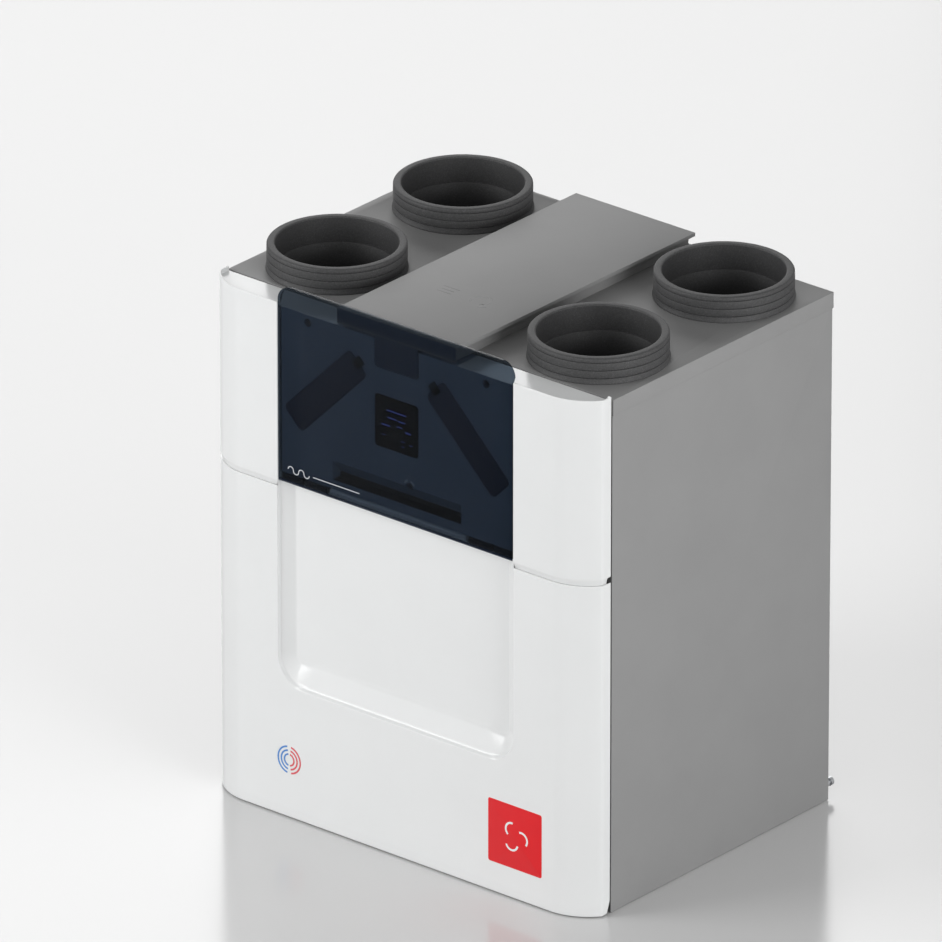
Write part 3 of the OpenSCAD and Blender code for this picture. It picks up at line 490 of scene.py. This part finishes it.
def recess_depth(x, z):
    """How far the lower front is set back at (x, z)."""
    centre_x = RECESS_HALF_W - RECESS_R
    centre_z = RECESS_BOTTOM + RECESS_R
    across = abs(x) - centre_x
    down = centre_z - z
    if across > 0 and down > 0:
        reach = math.hypot(across, down)
        inside, share = RECESS_R - reach, down / reach
    else:
        inside, share = min((RECESS_R - across, 0.0), (RECESS_R - down, 1.0))
    if inside <= 0:
        return 0.0
    inside *= 1.0 - RECESS_LOW_EASE * share * share
    edge = min(1.0, inside / RECESS_STEP_W)
    depth = RECESS_STEP * edge * edge * (3 - 2 * edge)
    depth += RECESS_SLOPE * max(0.0, inside - RECESS_STEP_W * 0.6)
    spare = RECESS_DEPTH - depth
    if spare > RECESS_FILLET:
        return depth
    if spare < -RECESS_FILLET:
        return RECESS_DEPTH
    return RECESS_DEPTH - (spare + RECESS_FILLET) ** 2 / (4 * RECESS_FILLET)


def lower_front():
    """Lower moulding: wrapped sheet with its recess, a rolled top lip and a rolled lower edge."""
    lip = 0.0008
    round_low = 0.0016
    # the strip's lower rear corner is cut off by this height and length
    cut_z, cut_y = 0.020, 0.006
    # columns and rows, closer together where the recess bends
    flat_x = spaced((0.0, 0.190, 0.012), (0.190, 0.196, 0.002), (0.196, 0.206, 0.0007),
                    (0.206, 0.2195, 0.0015), (0.2195, 0.2229, 0.00035), (0.2229, 0.235, 0.003),
                    (0.235, FLAT_HALF_W, 0.008))
    flat_z = spaced((0.012, 0.200, 0.012), (0.200, 0.2101, 0.003), (0.2101, 0.2135, 0.00035),
                    (0.2135, 0.232, 0.0015), (0.232, 0.262, 0.0012), (0.262, SEAM_Z - 0.001, 0.012))
    rows = [(WALL, 0.014), (WALL, LOWER_LOW.z)]
    for angle in quarter(4):
        rows.append((round_low * (1 - math.sin(angle)), LOWER_LOW.z + round_low * (1 - math.cos(angle))))
    rows += [(0.0, z) for z in flat_z]

    def wrapped(inset, z, columns):
        row = [(x, SHELL_Y + inset + recess_depth(x, z), z) for x in columns]
        for x, y in front_path(inset):
            low = LOWER_LOW.z + cut_z * max(0.0, (y - SHELL_REAR_Y + cut_y) / cut_y)
            row.append((x, y, max(z, low)))
        return row

    def mirrored(row):
        return [(-x, y, z) for x, y, z in reversed(row)]

    rings = [mirrored(wrapped(i, z, flat_x[1:-1])) + wrapped(i, z, flat_x[:-1]) for i, z in rows]
    shapes = [loft(rings, closed=False)]
    # rolled lip beside the recess
    beside = [x for x in flat_x[:-1] if x >= RECESS_HALF_W - 0.0020]
    lips = [rows[-1]]
    for angle in quarter(3):
        lips.append((lip * (1 - math.cos(angle)), SEAM_Z - lip + lip * math.sin(angle)))
    lips += [(WALL, SEAM_Z), (WALL, SEAM_Z - 0.010)]
    rings = [wrapped(inset, z, beside) for inset, z in lips]
    shapes += [loft(rings, closed=False), loft([mirrored(ring) for ring in rings], closed=False)]
    # the set-back floor runs on above the seam, behind the visor's lower edge
    inside = [x for x in flat_x if x <= RECESS_HALF_W - 0.0005]
    top = LOWER_HIGH.z
    back_rows = []
    for z, back in ((rows[-1][1], 0.0), (top - 0.002, 0.0), (top - 0.0006, 0.0006),
                    (top, 0.002), (top, 0.010)):
        row = [(x, SHELL_Y + recess_depth(x, z) + back, z) for x in inside]
        back_rows.append(mirrored(row[1:]) + row)
    shapes.append(loft(back_rows, closed=False))
    piece = make_piece("lower_front_moulding", join_shapes(shapes), WHITE, "casing",
                       sharp=50)
    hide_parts("lower_front_panel")


def flank_profile():
    """The flank's section as (inset, z), from the groove under it up over its rounded rim."""
    rim_r = 0.0014
    profile = [(WALL, GROOVE_TOP), (WALL, SEAM_Z + 0.0004), (GROOVE_DEPTH, SEAM_Z + 0.0004),
               (GROOVE_DEPTH - 0.0005, SEAM_Z + 0.0014), (0.0006, GROOVE_TOP - 0.0012),
               (0.0001, GROOVE_TOP), (0.0, GROOVE_TOP + 0.002)]
    profile += [(0.0, z) for z in spaced((GROOVE_TOP + 0.012, RIM_Z - 0.012, 0.03))]
    rim_z = RIM_Z - rim_r
    profile += [(rim_r * (1 - math.cos(a)), rim_z + rim_r * math.sin(a)) for a in quarter(4)]
    profile += [(WALL - rim_r * (1 - math.sin(a)), rim_z + rim_r * math.cos(a)) for a in quarter(4)]
    profile.append((WALL, PLATE_Z - 0.0015))
    return profile


def upper_flank(side):
    """Upper white moulding beside the visor, with its rim, groove edge and top plate."""
    inner_x = FLANK_LOW.x
    corner = 0.0008
    plate_inset = 0.0028
    rings = []
    for inset, z in flank_profile():
        wall_x = side * (inner_x + inset)
        wall_z = min(z, PLATE_Z - 0.0006)
        path = [(inner_x + inset + corner, SHELL_Y + inset)]
        path += [(x, SHELL_Y + inset) for x in spaced((inner_x + 0.02, FLAT_HALF_W - 0.01, 0.02))]
        path += front_path(inset)
        ring = [(wall_x, SHELL_REAR_Y, wall_z), (wall_x, SHELL_Y + 0.010, wall_z),
                (wall_x, SHELL_Y + inset + corner, z)]
        rings.append(ring + [(side * x, y, z) for x, y in path])
    shell = loft(rings, closed=False)
    plan = [(inner_x, SHELL_REAR_Y), (inner_x, SHELL_Y + plate_inset)] + front_path(plate_inset)
    plate = loft([[(side * x, y, z) for x, y in plan] for z in (PLATE_Z, PLATE_Z - PLATE_T)], capped=True)
    name = "right" if side > 0 else "left"
    piece = make_piece("upper_flank_" + name, join_shapes([shell, plate]), WHITE, "casing",
                       sharp=40)
    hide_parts("front_flank_" + name)
    rim_nub(side, name)


def rim_nub(side, name):
    """Rounded nub where the rim ends at the rear."""
    nub_r = 0.0024
    middle_x, middle_y, middle_z = SHELL_HALF_W - 0.0018, SHELL_REAR_Y - 0.0028, RIM_Z - 0.0006
    rings = []
    for k in range(9):
        rise = math.radians(-90 + 180 * k / 8)
        z = middle_z + nub_r * 0.9 * math.sin(rise)
        turn = circle(nub_r * math.cos(rise), 16)
        rings.append([(side * (middle_x + dx), middle_y + dy, z) for dx, dy in turn])
    make_piece("rim_nub_" + name, loft(rings, capped=True), WHITE, "casing", sharp=60)


# ---------- visor ----------


def visor_outline(inset):
    """Visor outline: square at the hinge, round at the top. Anticlockwise, as (x, z)."""
    half_w = VISOR_HIGH.x - inset
    top = VISOR_HIGH.z - inset
    low = VISOR_LOW.z + 0.0012 + inset * 0.4
    radius = 0.023 - inset
    outline = []
    for side, start in ((1, 0), (-1, 90)):
        for k in range(13):
            angle = math.radians(start + 90 * k / 12)
            outline.append((side * (half_w - radius) + radius * math.cos(angle),
                            top - radius + radius * math.sin(angle)))
    # a few points below each corner, where the thick lip fades out
    edge = spaced((top - radius - 0.006, top - radius - 0.020, 0.004))
    outline += [(-half_w, z) for z in edge]
    outline += [(-half_w, low), (half_w, low)]
    outline += [(half_w, z) for z in reversed(edge)]
    return outline


def visor():
    """Smoked shell with a thicker lip along its top, and a bead along the hinge."""
    face_y = FACE_Y + 0.00004
    thick = 0.003
    lip = 0.0078
    lip_from, lip_full = 0.812, 0.819
    bevel = 0.0009

    def depth(z):
        t = min(1.0, max(0.0, (z - lip_from) / (lip_full - lip_from)))
        return thick + (lip - thick) * t * t * (3 - 2 * t)

    rings = []
    for angle in quarter(3):
        y = face_y + bevel * (1 - math.cos(angle))
        rings.append([(x, y, z) for x, z in visor_outline(bevel * (1 - math.sin(angle)))])
    outer = visor_outline(0.0)
    for back, inset in ((-0.0006, 0.0), (-0.0002, 0.0002), (0.0, 0.0007), (0.0, 0.0018), (-0.0004, 0.0024)):
        rings.append([(x, FACE_Y + max(thick * 0.8, depth(outer_z) + back), z)
                      for (x, z), (_, outer_z) in zip(visor_outline(inset), outer)])
    for back, inset in ((0.0006, 0.0026), (0.0, 0.0034)):
        rings.append([(x, FACE_Y + thick + back, z) for x, z in visor_outline(inset)])
    piece = make_piece("visor_shell", loft(rings, capped=True), SMOKED, "visor", sharp=30)
    piece.visible_shadow = False
    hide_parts("visor")
    bead_r = 0.0021
    end_r, end_l = bead_r - 0.0005, 0.0006
    bead_y, bead_z = FACE_Y + bead_r, VISOR_LOW.z + bead_r
    rings = []
    for x, r in ((VISOR_LOW.x, end_r), (VISOR_LOW.x + end_l, bead_r),
                 (VISOR_HIGH.x - end_l, bead_r), (VISOR_HIGH.x, end_r)):
        rings.append([(x, bead_y + dy, bead_z + dz) for dy, dz in circle(r, 20)])
    # the bead's lighter smoked plastic is a painted highlight along the visor's lower edge
    make_piece("visor_bead", loft(rings, capped=True), EDGE_PAINTED_HIGHLIGHT, "visor", sharp=50)


# ---------- collars ----------


def collar(name):
    """Foam duct collar with three grooves, from its flange over the rim and down its bore."""
    low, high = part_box(name)
    x, y = (low.x + high.x) / 2, (low.y + high.y) / 2
    top = high.z
    outer, bore, neck = 0.1022, 0.0900, 0.0840
    foot_z = 0.7725
    groove_depth, groove_half = 0.0018, 0.0006
    outside = [(0.1000, foot_z), (0.1000, CASING_TOP - 0.001), (0.1034, CASING_TOP),
               (0.1036, CASING_TOP + 0.0012), (0.1034, CASING_TOP + 0.0024), (0.1024, CASING_TOP + 0.0034)]
    for z in (0.819, 0.831, 0.843):
        outside += [(outer, z - 2.2 * groove_half), (outer - 0.0002, z - groove_half),
                    (outer - groove_depth, z), (outer - 0.0002, z + groove_half),
                    (outer, z + 2.2 * groove_half)]
    rim = 0.0032
    outside += [(outer - rim + rim * math.cos(a), top - rim + rim * math.sin(a)) for a in quarter(5)[1:]]
    rim = 0.0022
    outside += [(bore + rim - rim * math.sin(a), top - rim + rim * math.cos(a)) for a in quarter(5)]
    inside = [(bore, CASING_TOP + 0.0036), (bore - 0.0006, CASING_TOP + 0.0024),
              (neck + 0.001, CASING_TOP + 0.0020), (neck, CASING_TOP + 0.001), (neck, foot_z)]
    piece = make_piece(name + "_foam", lathe(outside, x, y), FOAM, "casing", sharp=45)
    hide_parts(name)
    inside = outside[-1:] + inside
    # the bore's darker foam is painted shade
    make_piece(name + "_bore", lathe(inside, x, y), FOAM_PAINTED_SHADE, "casing", sharp=45)


# ---------- behind the visor ----------


def sloping(outline, side, along=0.0):
    """The outline turned into one filter cap's slope and moved along it, towards its upper end."""
    slope = -side * math.radians(45)
    centre = turned([(-side * along, 0.0)], slope, side * FILTER_X, FILTER_Z)[0]
    return turned(outline, slope, *centre)


def filter_cap(side, body):
    """A sloping filter cap: its face with a plug behind it, its pull tab and the clip at the tab's root."""
    low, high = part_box(body)
    name = body.split("_")[-1]
    face_y = low.y + 0.0009
    tab_y = low.y + 0.0001
    outline = sloping(rounded_outline(CAP_L, CAP_W, CAP_R), side)
    plug = sloping(rounded_outline(CAP_L - 0.006, CAP_W - 0.006, 0.006), side)
    shapes = [tablet(outline, face_y, face_y + 0.004, 0.0012), tablet(plug, face_y + 0.0035, high.y, 0.0005)]
    piece = make_piece(body + "_face", join_shapes(shapes), CAP, body, sharp=30)
    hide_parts(body)
    tab = sloping(rounded_outline(0.017, 0.016, 0.002, 3), side, CAP_L / 2 + 0.001)
    make_piece("filter_tab_" + name, tablet(tab, tab_y, low.y + 0.0012, 0.0004), DARK, body,
               sharp=30)
    clip = sloping(rounded_outline(0.010, 0.014, 0.002, 3), side, CAP_L / 2 - 0.004)
    make_piece("filter_clip_" + name, tablet(clip, tab_y, face_y + 0.0005, 0.0004), BLACK_RUBBER, body,
               sharp=30)


def display():
    """Glass of the touch display, with generic bars and dots on it."""
    low, high = DISPLAY_LOW, DISPLAY_HIGH
    cx, cz = (low.x + high.x) / 2, (low.z + high.z) / 2
    outline = turned(rounded_outline(high.x - low.x, high.z - low.z, 0.0055), 0.0, cx, cz)
    piece = make_piece("display_glass", tablet(outline, low.y, high.y, 0.0006),
                       DISPLAY, "casing", sharp=30)
    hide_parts("display_window")
    # offsets from the middle, then length and height
    bars = [(0.0, 0.020, 0.036, 0.0020), (-0.008, 0.009, 0.017, 0.0020), (0.010, 0.008, 0.013, 0.0020),
            (-0.020, -0.004, 0.016, 0.0022), (0.006, -0.001, 0.010, 0.0016), (0.022, -0.006, 0.010, 0.0026),
            (-0.024, -0.020, 0.007, 0.0007), (0.012, -0.022, 0.006, 0.0012), (0.012, -0.030, 0.005, 0.0010),
            (0.027, -0.024, 0.006, 0.0010)]
    shapes = []
    for x, z, length, height in bars:
        bar = turned(rounded_outline(length, height, height * 0.45, 3), 0.0, cx + x, cz + z)
        shapes.append(tablet(bar, low.y - 0.00025, low.y + 0.0002, 0.0001))
    make_piece("display_marks", join_shapes(shapes), DISPLAY_BAR, "casing", sharp=30)


def hinge_rail():
    """Rounded roll behind the visor's lower edge, two blocks on each side and a back strip."""
    back_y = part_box("hinge_rail")[1].y
    roll_half = 0.128
    roll_r = 0.0066
    roll_y, roll_z = FACE_Y + 0.012, 0.541
    ends = ((0.0, 0.8), (0.0008, 0.93), (0.0025, 1.0))
    stations = [(-roll_half + step, share) for step, share in ends]
    stations += [(roll_half - step, share) for step, share in reversed(ends)]
    rings = [[(x, roll_y + dy, roll_z + dz) for dy, dz in circle(roll_r * share, 28)]
             for x, share in stations]
    # the roll's pale colour holds a painted highlight
    piece = make_piece("hinge_roll", loft(rings, capped=True), ROLL_PAINTED_HIGHLIGHT, "casing", sharp=40)
    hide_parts("hinge_rail")
    shapes = []
    for side in (-1, 1):
        for start, end in ((0.133, 0.176), (0.180, 0.215)):
            middle = side * (start + end) / 2
            block = turned(rounded_outline(end - start, 0.0135, 0.002, 3), 0.0, middle, 0.5412)
            shapes.append(tablet(block, FACE_Y + 0.0072, back_y, 0.001))
            ridge = turned(rounded_outline(end - start - 0.006, 0.003, 0.0012, 3), 0.0, middle, 0.5445)
            shapes.append(tablet(ridge, FACE_Y + 0.0066, FACE_Y + 0.008, 0.0004))
    make_piece("hinge_blocks", join_shapes(shapes), DARK, "casing", sharp=35)
    strip = turned(rounded_outline(2 * roll_half, 0.013, 0.001, 2), 0.0, 0.0, roll_z)
    make_piece("hinge_back", tablet(strip, roll_y + 0.0005, back_y, 0.0005), DARK, "casing",
               sharp=35)


def fascia_screws():
    """Cap-head screws with round sockets on the fascia."""
    y = FASCIA_Y + 0.007
    r = 0.0045
    profile = [(0.0001, y + 0.003), (r, y + 0.003), (r, y + 0.0005), (r - 0.0005, y), (0.0026, y),
               (0.0024, y + 0.0002), (0.0022, y + 0.0018), (0.0001, y + 0.0018)]
    shapes = [lathe_y(profile, x, z) for x, z in FASCIA_SCREWS]
    make_piece("fascia_screws", join_shapes(shapes), BLACK_STEEL, "casing", sharp=35)


def rear_screws():
    """Two pan-head screws at the raised cover's rear."""
    y, z, r = LID_HIGH.y, LID_HIGH.z - 0.0032, 0.0024
    profile = [(0.0001, y), (r, y), (r * 0.92, y + 0.0010), (r * 0.5, y + 0.0017), (0.0001, y + 0.0018)]
    shapes = [lathe_y(profile, x, z) for x in (-0.08, 0.08)]
    piece = make_piece("rear_screws", join_shapes(shapes), ZINC, "casing", sharp=35)
    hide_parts("cover_screws")


def grip_painted_shadow():
    """Black L-shaped sheet on the floor and rear of the hand grip in the fascia: painted shadow inside the
    grip.
    """
    half, thin = 0.1208, 0.0003
    front, back = FASCIA_Y + 0.0006, FASCIA_Y + 0.0178
    low, high = 0.5632, 0.5708
    section = [(front, low), (back, low), (back, high), (back - thin, high), (back - thin, low + thin),
               (front, low + thin)]
    rings = [[(x, y, z) for y, z in section] for x in (-half, half)]
    make_piece("grip_painted_shadow", loft(rings, capped=True), BLACK_RUBBER, "casing", sharp=30)


def guide_arcs():
    """Two short pale arcs over the lowest fascia screw."""
    x, z = FASCIA_SCREWS[2]
    y = FASCIA_Y - 0.0005
    shapes = [ring_arc(x, z, 0.0098, 0.0034, start, start + 52, y) for start in (24, 104)]
    make_piece("guide_arcs", join_shapes(shapes), PALE_MARK, "casing", sharp=30)


# ---------- badges and marks ----------


def badge():
    """A plain red panel with a pinwheel of three arcs."""
    x, z, size = 0.2259, 0.0996, 0.1004
    reach, arc_r, arc_w = 0.012, 0.011, 0.0032
    panel = turned(rounded_outline(size, size, 0.0035, 4), 0.0, x, z)
    make_piece("badge_panel", tablet(panel, FACE_Y + 0.00015, SHELL_Y + 0.0004, 0.0001), BADGE_RED, "casing",
               sharp=30)
    shapes = []
    for k in range(3):
        arc_x, arc_z = x + reach * math.cos(2.1 * k), z + reach * math.sin(2.1 * k)
        shapes.append(ring_arc(arc_x, arc_z, arc_r, arc_w, 120 * k - 40, 120 * k + 110, FACE_Y))
    make_piece("badge_pinwheel", join_shapes(shapes), MARK_WHITE, "casing", sharp=30)


def heat_mark():
    """A small two-colour mark of half rings, red on the right and blue on the left."""
    x, z, width = -0.2015, 0.094, 0.0026
    for name, start, material, slot in (("warm", -80, MARK_RED, "mark_red"),
                                        ("cool", 100, MARK_BLUE, "mark_blue")):
        shapes = [ring_arc(x, z, r, width, start, start + 160, FACE_Y) for r in (0.021, 0.015, 0.009)]
        make_piece("heat_mark_" + name, join_shapes(shapes), material, "casing", sharp=30)


def visor_mark():
    """A plain wave and a line on the visor."""
    wave_x, wave_z, wave_r = -0.196, 0.5585, 0.005
    shapes = []
    for k in range(4):
        x, start = wave_x + 2 * wave_r * k, 180 * (k % 2)
        shapes.append(ring_arc(x, wave_z, wave_r, 0.0012, start, start + 180, FACE_Y, 0.0001))
    line = turned(rounded_outline(0.088, 0.0011, 0.0005, 2), 0.0, -0.110, wave_z)
    shapes.append(tablet(line, FACE_Y, FACE_Y + 0.0001, 0.00002))
    make_piece("visor_mark", join_shapes(shapes), PALE_MARK, "visor", sharp=30)


def lid_marks():
    """Faint generic embossed marks on the raised cover, darker than the cover as painted shade: a ring with
    an arrow and three bars.
    """
    thin, bevel = 0.0003, 0.00002
    shapes = [ring_arc(0.030, -0.082, 0.015, 0.0036, -60, 230, 0.0, thin)]
    for k, length in enumerate((0.030, 0.022, 0.026)):
        bar = turned(rounded_outline(length, 0.0022, 0.0004, 2), 0.0, -0.030, -0.075 - 0.009 * k)
        shapes.append(tablet(bar, 0.0, thin, bevel))
    tip = [(0.040, -0.104), (0.053, -0.097), (0.041, -0.090)]
    shapes.append(tablet(tip, 0.0, thin, bevel))
    points, faces = join_shapes(shapes)
    # laid flat on the cover's top
    lifted = [(x, z - 0.045, LID_HIGH.z + 0.00006 - y) for x, y, z in points]
    make_piece("lid_marks", (lifted, faces), LID_MARK_PAINTED_SHADE, "casing", sharp=30)


def seam_painted_shade():
    """Small black blocks set into the rear of the strip at the seam: painted shade that stands for small
    openings there.
    """
    low, high = SEAM_Z + 0.0006, SEAM_Z + 0.0092
    front_y = SHELL_REAR_Y - 0.0068
    corners = [(front_y, low), (SHELL_REAR_Y, low), (SHELL_REAR_Y, high),
               (SHELL_REAR_Y - 0.0055, high), (front_y, SEAM_Z + 0.0070)]
    shapes = []
    for side in (-1, 1):
        x = side * (SHELL_HALF_W + 0.0001)
        rings = [[(x - side * deep, y, z) for y, z in corners] for deep in (0.0, 0.003)]
        shapes.append(loft(rings, capped=True))
    make_piece("seam_painted_shade", join_shapes(shapes), BLACK_RUBBER, "casing", sharp=30)


# ---------- casing ----------


def casing():
    """Folded steel parts and the fascia with softened edges; the top cover's side faces get the lighter side
    grey, painted light for the stronger light falling on the sides.
    """
    cover = softened("top_cover", 0.0008, CASING_GREY)
    # the top cover's sideways faces get the lighter copy of its paint: painted light
    cover.data.materials.append(SIDE_GREY_PAINTED_LIGHT)
    for face in cover.data.polygons:
        if abs(face.normal.x) > 0.7:
            face.material_index = 1
    for node, width in (("side_panel_left", 0.0006), ("side_panel_right", 0.0006), ("rear_panel", 0.0004)):
        softened(node, width, SIDE_GREY_PAINTED_LIGHT)
    softened("service_cover", 0.0007, CASING_GREY)
    softened("front_fascia", 0.0004, FASCIA)


def cover_tongue():
    """Front of the raised cover, with the tongue that fills the fascia's notch, in a dark blue-grey that is
    painted shade on the cover's steel behind the visor.
    """
    front_y, back_y = LID_LOW.y - 0.00022, LID_LOW.y + 0.0003
    z_top, z_low = CASING_TOP + 0.0040, LID_LOW.z + 0.0006
    half = 0.0399
    corner = 0.0055
    outline = [(half, z_top), (-half, z_top)]
    for start, cx in ((180, -half + corner), (270, half - corner)):
        for k in range(7):
            angle = math.radians(start + 90 * k / 6)
            outline.append((cx + corner * math.cos(angle), z_low + corner + corner * math.sin(angle)))
    head_w, head_h = LID_HIGH.x - LID_LOW.x - 0.003, LID_HIGH.z - CASING_TOP - 0.0076
    head_z = (LID_HIGH.z + CASING_TOP + 0.0064) / 2
    head = turned(rounded_outline(head_w, head_h, 0.0005, 2), 0.0, 0.0, head_z)
    shapes = [tablet(part, front_y, back_y, 0.0001) for part in (outline, head)]
    make_piece("cover_tongue", join_shapes(shapes), TONGUE, "casing", sharp=30)


def top_returns():
    """White strips of the upper moulding that run on behind the visor to the raised cover."""
    front_y = FASCIA_Y + 0.0006
    start, end = LID_HIGH.x + 0.001, FLANK_LOW.x
    outline = [(start, front_y), (end, front_y), (end, SHELL_REAR_Y), (start, SHELL_REAR_Y)]
    shapes = []
    for side in (-1, 1):
        rings = [[(side * x, y, z) for x, y in outline] for z in (PLATE_Z, PLATE_Z - 0.0016)]
        shapes.append(loft(rings, capped=True))
    make_piece("top_returns", join_shapes(shapes), WHITE, "casing", sharp=30)


NODE_MATERIALS = {
    "base_plate": GALVANISED, "front_gasket": BLACK_RUBBER, "visor_pivot_pins": ZINC,
    "display_module": DARK, "filter_frame_left": CARD, "filter_frame_right": CARD,
    "filter_media_left": FLEECE, "filter_media_right": FLEECE, "epp_base": FOAM, "epp_left_wall": FOAM,
    "epp_right_wall": FOAM, "epp_front_wall": FOAM, "epp_rear_wall": FOAM, "epp_top_left": FOAM,
    "epp_top_right": FOAM, "exhaust_channel": FOAM, "supply_channel": FOAM,
    "heat_exchanger_core": EXCHANGER, "exchanger_end_caps": PALE_PLASTIC, "exchanger_seals": BLACK_RUBBER,
    "exhaust_fan_scroll": GREY_PLASTIC, "supply_fan_scroll": GREY_PLASTIC, "exhaust_fan_motor": ZINC,
    "supply_fan_motor": ZINC, "exhaust_impeller": PALE_PLASTIC, "supply_impeller": PALE_PLASTIC,
    "bypass_frame": GREY_PLASTIC, "bypass_blade": GALVANISED, "bypass_shaft": ZINC, "bypass_actuator": DARK,
    "condensate_tray": GREY_PLASTIC, "drain_socket": DARK, "electronics_tray": GALVANISED,
    "control_board": BOARD, "board_components": COMPONENT, "terminal_blocks": TERMINAL,
    "cable_glands": DARK, "wall_rail": ZINC, "wall_spacers": ZINC, "rubber_feet": FOOT_RUBBER,
}


def dress_nodes():
    """Gives every CAD node that stays visible its material."""
    for name, material in NODE_MATERIALS.items():
        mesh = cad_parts[name].data
        mesh.materials.clear()
        mesh.materials.append(material)


# ---------- stage, lights and camera ----------


def stage():
    """Plain pale floor with a soft gloss."""
    half = 40.0
    material, tree, shader = new_material("floor")
    slow = object_noise(tree, 0.6)
    tint = ramp(tree, slow.outputs["Fac"], (0.64, 0.64, 0.64, 1), (0.66, 0.66, 0.66, 1))
    tree.links.new(tint.outputs["Color"], shader.inputs["Base Color"])
    shader.inputs["Roughness"].default_value = 0.16
    shader.inputs["Specular IOR Level"].default_value = 0.6
    mesh = bpy.data.meshes.new("floor")
    corners = [(-half, -half, 0), (half, -half, 0), (half, half, 0), (-half, half, 0)]
    mesh.from_pydata(corners, [], [(0, 1, 2, 3)])
    mesh.materials.append(material)
    floor = bpy.data.objects.new("floor", mesh)
    bpy.context.collection.objects.link(floor)


def area_light(name, location, target, size, power):
    data = bpy.data.lights.new(name, "AREA")
    data.shape = "RECTANGLE"
    data.size, data.size_y = size
    data.energy = power
    light = bpy.data.objects.new(name, data)
    bpy.context.collection.objects.link(light)
    light.location = location
    light.rotation_mode = "QUATERNION"
    light.rotation_quaternion = (Vector(target) - Vector(location)).to_track_quat("-Z", "Y")


def lights():
    """A studio world that darkens towards the zenith, and three soft lights."""
    world = bpy.data.worlds.new("studio")
    bpy.context.scene.world = world
    world.use_nodes = True
    background = world.node_tree.nodes["Background"]
    background.inputs["Color"].default_value = (1.0, 1.0, 1.0, 1.0)
    tree = world.node_tree
    where = tree.nodes.new("ShaderNodeTexCoord")
    parts = tree.nodes.new("ShaderNodeSeparateXYZ")
    fade = tree.nodes.new("ShaderNodeMapRange")
    fade.inputs["To Min"].default_value = 0.76
    fade.inputs["To Max"].default_value = 0.27
    tree.links.new(where.outputs["Generated"], parts.inputs["Vector"])
    tree.links.new(parts.outputs["Z"], fade.inputs["Value"])
    tree.links.new(fade.outputs["Result"], background.inputs["Strength"])
    area_light("front_left_key", (-2.6, -3.4, 2.0), (0, -0.2, 0.4), (2.4, 2.4), 97)
    area_light("right_fill", (4.2, -0.9, 1.5), (0.2, 0, 0.4), (2.4, 2.0), 88)
    area_light("rear_sweep", (-5.4, 5.0, 3.25), (-0.5, -0.4, 0), (3.8, 3.6), 122)


def camera():
    """Camera at the photo's angle, from its azimuth, elevation, distance and aim."""
    azimuth, elevation = math.radians(40.006), math.radians(24.374)
    distance = 27.9
    aim = Vector((-0.10666, 0.01364, 0.47915))
    back = Vector((math.sin(azimuth) * math.cos(elevation), -math.cos(azimuth) * math.cos(elevation),
                   math.sin(elevation)))
    data = bpy.data.cameras.new("camera")
    data.sensor_width = 36.0
    data.lens = 733.88
    data.clip_start, data.clip_end = 0.5, 120.0
    made = bpy.data.objects.new("camera", data)
    made.location = aim + back * distance
    made.rotation_euler = (math.pi / 2 - elevation, 0.0, azimuth)
    bpy.context.collection.objects.link(made)
    bpy.context.scene.camera = made


camera()
lights()
stage()
bpy.context.scene.view_settings.view_transform = "Standard"
dress_nodes()
casing()
lower_front()
for side in (-1, 1):
    upper_flank(side)
visor()
for row in ("front", "rear"):
    for hand in ("left", "right"):
        collar("duct_collar_%s_%s" % (row, hand))
filter_cap(-1, "filter_cap_left")
filter_cap(1, "filter_cap_right")
display()
hinge_rail()
fascia_screws()
rear_screws()
badge()
heat_mark()
visor_mark()
guide_arcs()
grip_painted_shadow()
seam_painted_shade()
lid_marks()
cover_tongue()
top_returns()
